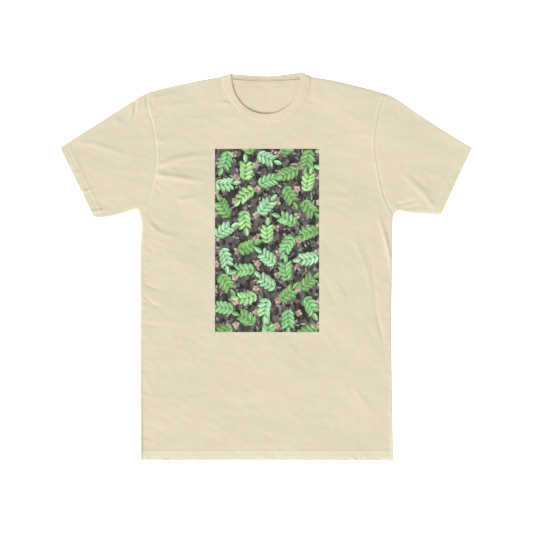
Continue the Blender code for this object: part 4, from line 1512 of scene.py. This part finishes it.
def add_leaf(root, turn, size, ink):
    """One leaf from its root: a light half, a dark half and a pale midrib."""
    light, dark, pale = (shaded_ink(ink, tone) for tone in LEAF_TONES)
    length, width = LEAF_SIZE[0] * size, LEAF_SIZE[1] * size
    centre = root + heading(turn) * length / 2
    leaf = oval(centre, turn, length, width, LEAF_POINTED)
    half = len(leaf) // 2
    motifs.append((leaf[:half + 1], light))
    motifs.append((np.vstack([leaf[half:], leaf[:1]]), dark))
    middle = centre - heading(turn) * length * 0.06
    motifs.append((oval(middle, turn, length * 0.8, MIDRIB_WIDTH, STROKE_POINTED, 6), pale))


def add_sprig(middle, turn, bend, ink):
    """A bent stem with paired leaves and one leaf at its tip."""
    point = middle - heading(turn + bend * SPRIG_NODES / 2) * NODE_STEP * (SPRIG_NODES + 1.2) / 2
    stem, leaves_here = [point], []
    for node in range(SPRIG_NODES + 1):
        point = point + NODE_STEP * heading(turn) * (ROOT_STEP if node == 0 else 1.0)
        stem.append(point)
        size = 1.0 - SMALLER_AWAY[0] * abs(node - SMALLER_AWAY[1])
        if node < SPRIG_NODES:
            for side in (-1, 1):
                tone = shaded_ink(ink, draw.uniform(*LEAF_INKS))
                leaves_here.append((point, turn + side * LEAF_TURN, size * draw.uniform(*LEAF_SIZES), tone))
        turn += bend
    line = np.array(stem)
    along = np.gradient(line, axis=0)
    across = left_of(along) / np.linalg.norm(along, axis=1)[:, None] * STEM_WIDTH / 2
    motifs.append((np.vstack([line - across, (line + across)[::-1]]), STEM_GREEN))
    leaves_here.append((stem[-1], turn - bend, TIP_SIZE, ink))
    for leaf in leaves_here:
        add_leaf(*leaf)


def add_berries(spot, count):
    """A cluster of round berries, each with a small light spot."""
    turn = draw.uniform(0, math.tau)
    offset, size, tone = BERRY_LIGHT
    for k in range(count):
        berry = spot + BERRY_SIZE * CLUSTER[0] * heading(turn + math.tau * k / count)
        ink = TANS[draw.integers(len(TANS))]
        motifs.append((oval(berry, turn, BERRY_SIZE, BERRY_SIZE * CLUSTER[1], 1.0, 12), ink))
        motifs.append((oval(berry + offset, turn, *size, 1.0, 6), shaded_ink(ink, tone)))


def add_dashes():
    """Short strokes strewn over the ground."""
    for _ in range(DASHES):
        spot = print_low + draw.uniform(0.01, 0.99, 2) * PRINT_SIZE
        size = draw.uniform(0.6, 1.25)
        ink = DASH_INKS[draw.integers(len(DASH_INKS))]
        turn = draw.uniform(0, math.pi)
        motifs.append((oval(spot, turn, DASH_SIZE[0] * size, DASH_SIZE[1] * size, STROKE_POINTED, 6), ink))


def lattice(shift):
    """Points of a dropped lattice over the panel, a little unsettled."""
    spots = []
    for column in range(-1, 6):
        for row in range(-1, 9):
            cell = np.array([column + 0.5, row + (0.5 if column % 2 else 0.0)]) + shift
            spots.append(print_low + cell * SPRIG_PITCH + draw.uniform(-SPOT_SHIFT, SPOT_SHIFT, 2))
    return spots


add_dashes()
for spot in lattice((0.5, 0.25)):
    add_berries(spot, int(draw.integers(3, 6)))
for spot in lattice((0.0, 0.0)):
    turn, bend = draw.uniform(0, math.tau), draw.uniform(-SPRIG_BEND, SPRIG_BEND)
    add_sprig(spot, turn, bend, GREENS[draw.integers(len(GREENS))])
print(len(motifs), "shapes of ink on the ground")

# %% The mosaic of ink
INK_HEIGHT = 0.00022
INK_GRID = 0.0052
INK_BORDER = 0.0026
GROUND_CELLS = 170.0  # in a metre
PATCHES = (1.8, 2.9, -0.66)  # power, gain and offset of their tone
STREAKS = (260.0, 0.75, 0.60)  # cycles in a metre, and gain and offset of their tone
INK_BUMP = (0.00012, 0.35)  # depth and strength of the knit under the ink
INK_LOOKS = (0.78, 0.04)  # roughness and sheen
BARE_YARN = 0.02  # how much cream shows between the loops


def mosaic():
    """The panel cut along every shape: points, triangles and the ink of each triangle."""
    low, high = print_low, print_high
    corners = np.array([low, (high[0], low[1]), high, (low[0], high[1]), low])
    frame_line = np.vstack([even(corners[k:k + 2], INK_BORDER)[:-1] for k in range(4)])
    points, faces = [*frame_line], [list(range(len(frame_line)))]
    shown = [(shape, ink) for shape, ink in motifs if np.all((shape > low) & (shape < high), axis=1).any()]
    for shape, _ in shown:
        faces.append(list(range(len(points), len(points) + len(shape))))
        points += list(shape)
    xs, ys = (np.arange(low[k] + INK_GRID / 2, high[k], INK_GRID) for k in (0, 1))
    points += [np.array([x, y]) for x in xs for y in ys]
    made = delaunay_2d_cdt([Vector(p) for p in points], [], faces, 1, 1e-6)
    within = [(triangle, max(sources)) for triangle, sources in zip(made[2], made[5]) if 0 in sources]
    triangles = face_up(np.array(made[0]), np.array([triangle for triangle, _ in within]))
    return np.array(made[0]), triangles, [GROUND if top == 0 else shown[top - 1][1] for _, top in within]


def ink_piece(flat, triangles, inks):
    """The mosaic laid on the chest as a thin closed film."""
    used, triangles = np.unique(triangles, return_inverse=True)
    flat, triangles = flat[used], triangles.reshape(-1, 3)
    count = len(flat)
    top = front_height(flat) + INK_HEIGHT
    points = np.vstack([np.column_stack([flat, top]), np.column_stack([flat, top - 0.8 * INK_HEIGHT])])
    border = border_of(triangles)
    faces = [tuple(t) for t in [*triangles.tolist(), *(triangles[:, ::-1] + count).tolist()]]
    faces += [(b, a, a + count, b + count) for a, b in border]
    mesh = build_mesh("printed_leaves", points, faces, np.vstack([flat, flat]), {}, 60)
    colours = [(*ink, 1.0) for ink in inks + inks] + [(*GROUND, 1.0)] * len(border)
    paint = mesh.color_attributes.new("ink", "FLOAT_COLOR", "CORNER")
    corner_colours = [colour for face, colour in zip(faces, colours) for _ in face]
    paint.data.foreach_set("color", np.array(corner_colours, np.float32).ravel())
    ground = mesh.attributes.new("ground", "FLOAT", "FACE")
    ground.data.foreach_set("value", np.array([colour[:3] == GROUND for colour in colours], np.float32))
    return add_piece("printed_leaves", mesh)


def ground_cells(tree):
    """Patches of the ground, each with its own number from 0 to 1."""
    inputs = {"Scale": GROUND_CELLS, "Vector": place_of(tree, (1.0, 0.7, 1.0))}
    cells = add_node(tree, "ShaderNodeTexVoronoi", inputs, voronoi_dimensions="2D")
    return add_node(tree, "ShaderNodeSeparateColor", {"Color": cells["Color"]})["Red"]


def ink_finish():
    """Soft ink that lets the knit show through."""
    finish, tree, surface = new_finish("print_ink", *INK_LOOKS)
    paint = add_node(tree, "ShaderNodeVertexColor", layer_name="ink")["Color"]
    loops = knit_height(tree, *KNIT)
    patches = calculate(tree, "POWER", ground_cells(tree), PATCHES[0])
    patches = calculate(tree, "MULTIPLY_ADD", patches, *PATCHES[1:])
    patches = calculate(tree, "MULTIPLY_ADD", attribute(tree, "ground"), patches, 1.0)
    streaks = noise(tree, STREAKS[0], 3.0, (1.0, 0.35, 1.0))
    streaks = calculate(tree, "MULTIPLY_ADD", streaks, *STREAKS[1:])
    shaded = scaled(tree, paint, calculate(tree, "MULTIPLY", streaks, patches))
    bare = calculate(tree, "MULTIPLY", calculate(tree, "SUBTRACT", 1.0, loops), BARE_YARN)
    paint_between(tree, surface, bare, shaded, CREAM[0])
    add_bump(tree, surface, loops, *INK_BUMP)
    return finish


leaves = ink_piece(*mosaic())
leaves.data.materials.append(ink_finish())
print("print:", triangle_count(leaves.data), "triangles")

# %% [markdown]
# ## Every piece takes its place
#
# The frame has one body, and every piece rides on it and stands for its CAD node.

# %% Bodies, nodes and slots
BODY = next(iter(frame["bodies"]))
STANDS_FOR = {
    "front_panel": front_body, "back_panel": back_body,
    "left_sleeve": left_sleeve, "right_sleeve": right_sleeve,
    "neck_rib": collar, "neck_tape": tape, "chest_print": leaves,
}
SLOTS = {
    "jersey": [front_body, back_body, left_sleeve, right_sleeve], "rib_knit": [collar], "neck_tape": [tape],
    "print_ink": [leaves],
    "sewing_thread": [body_stitches, right_stitches, left_stitches, collar_stitches, tape_stitches],
}
for node_name, piece in STANDS_FOR.items():
    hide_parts(node_name)
for slot_name, pieces in SLOTS.items():
    for piece in pieces:
        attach(piece, BODY)
everything = [piece for pieces in SLOTS.values() for piece in pieces]
print(len(everything), "pieces,", sum(triangle_count(piece.data) for piece in everything), "triangles in all")
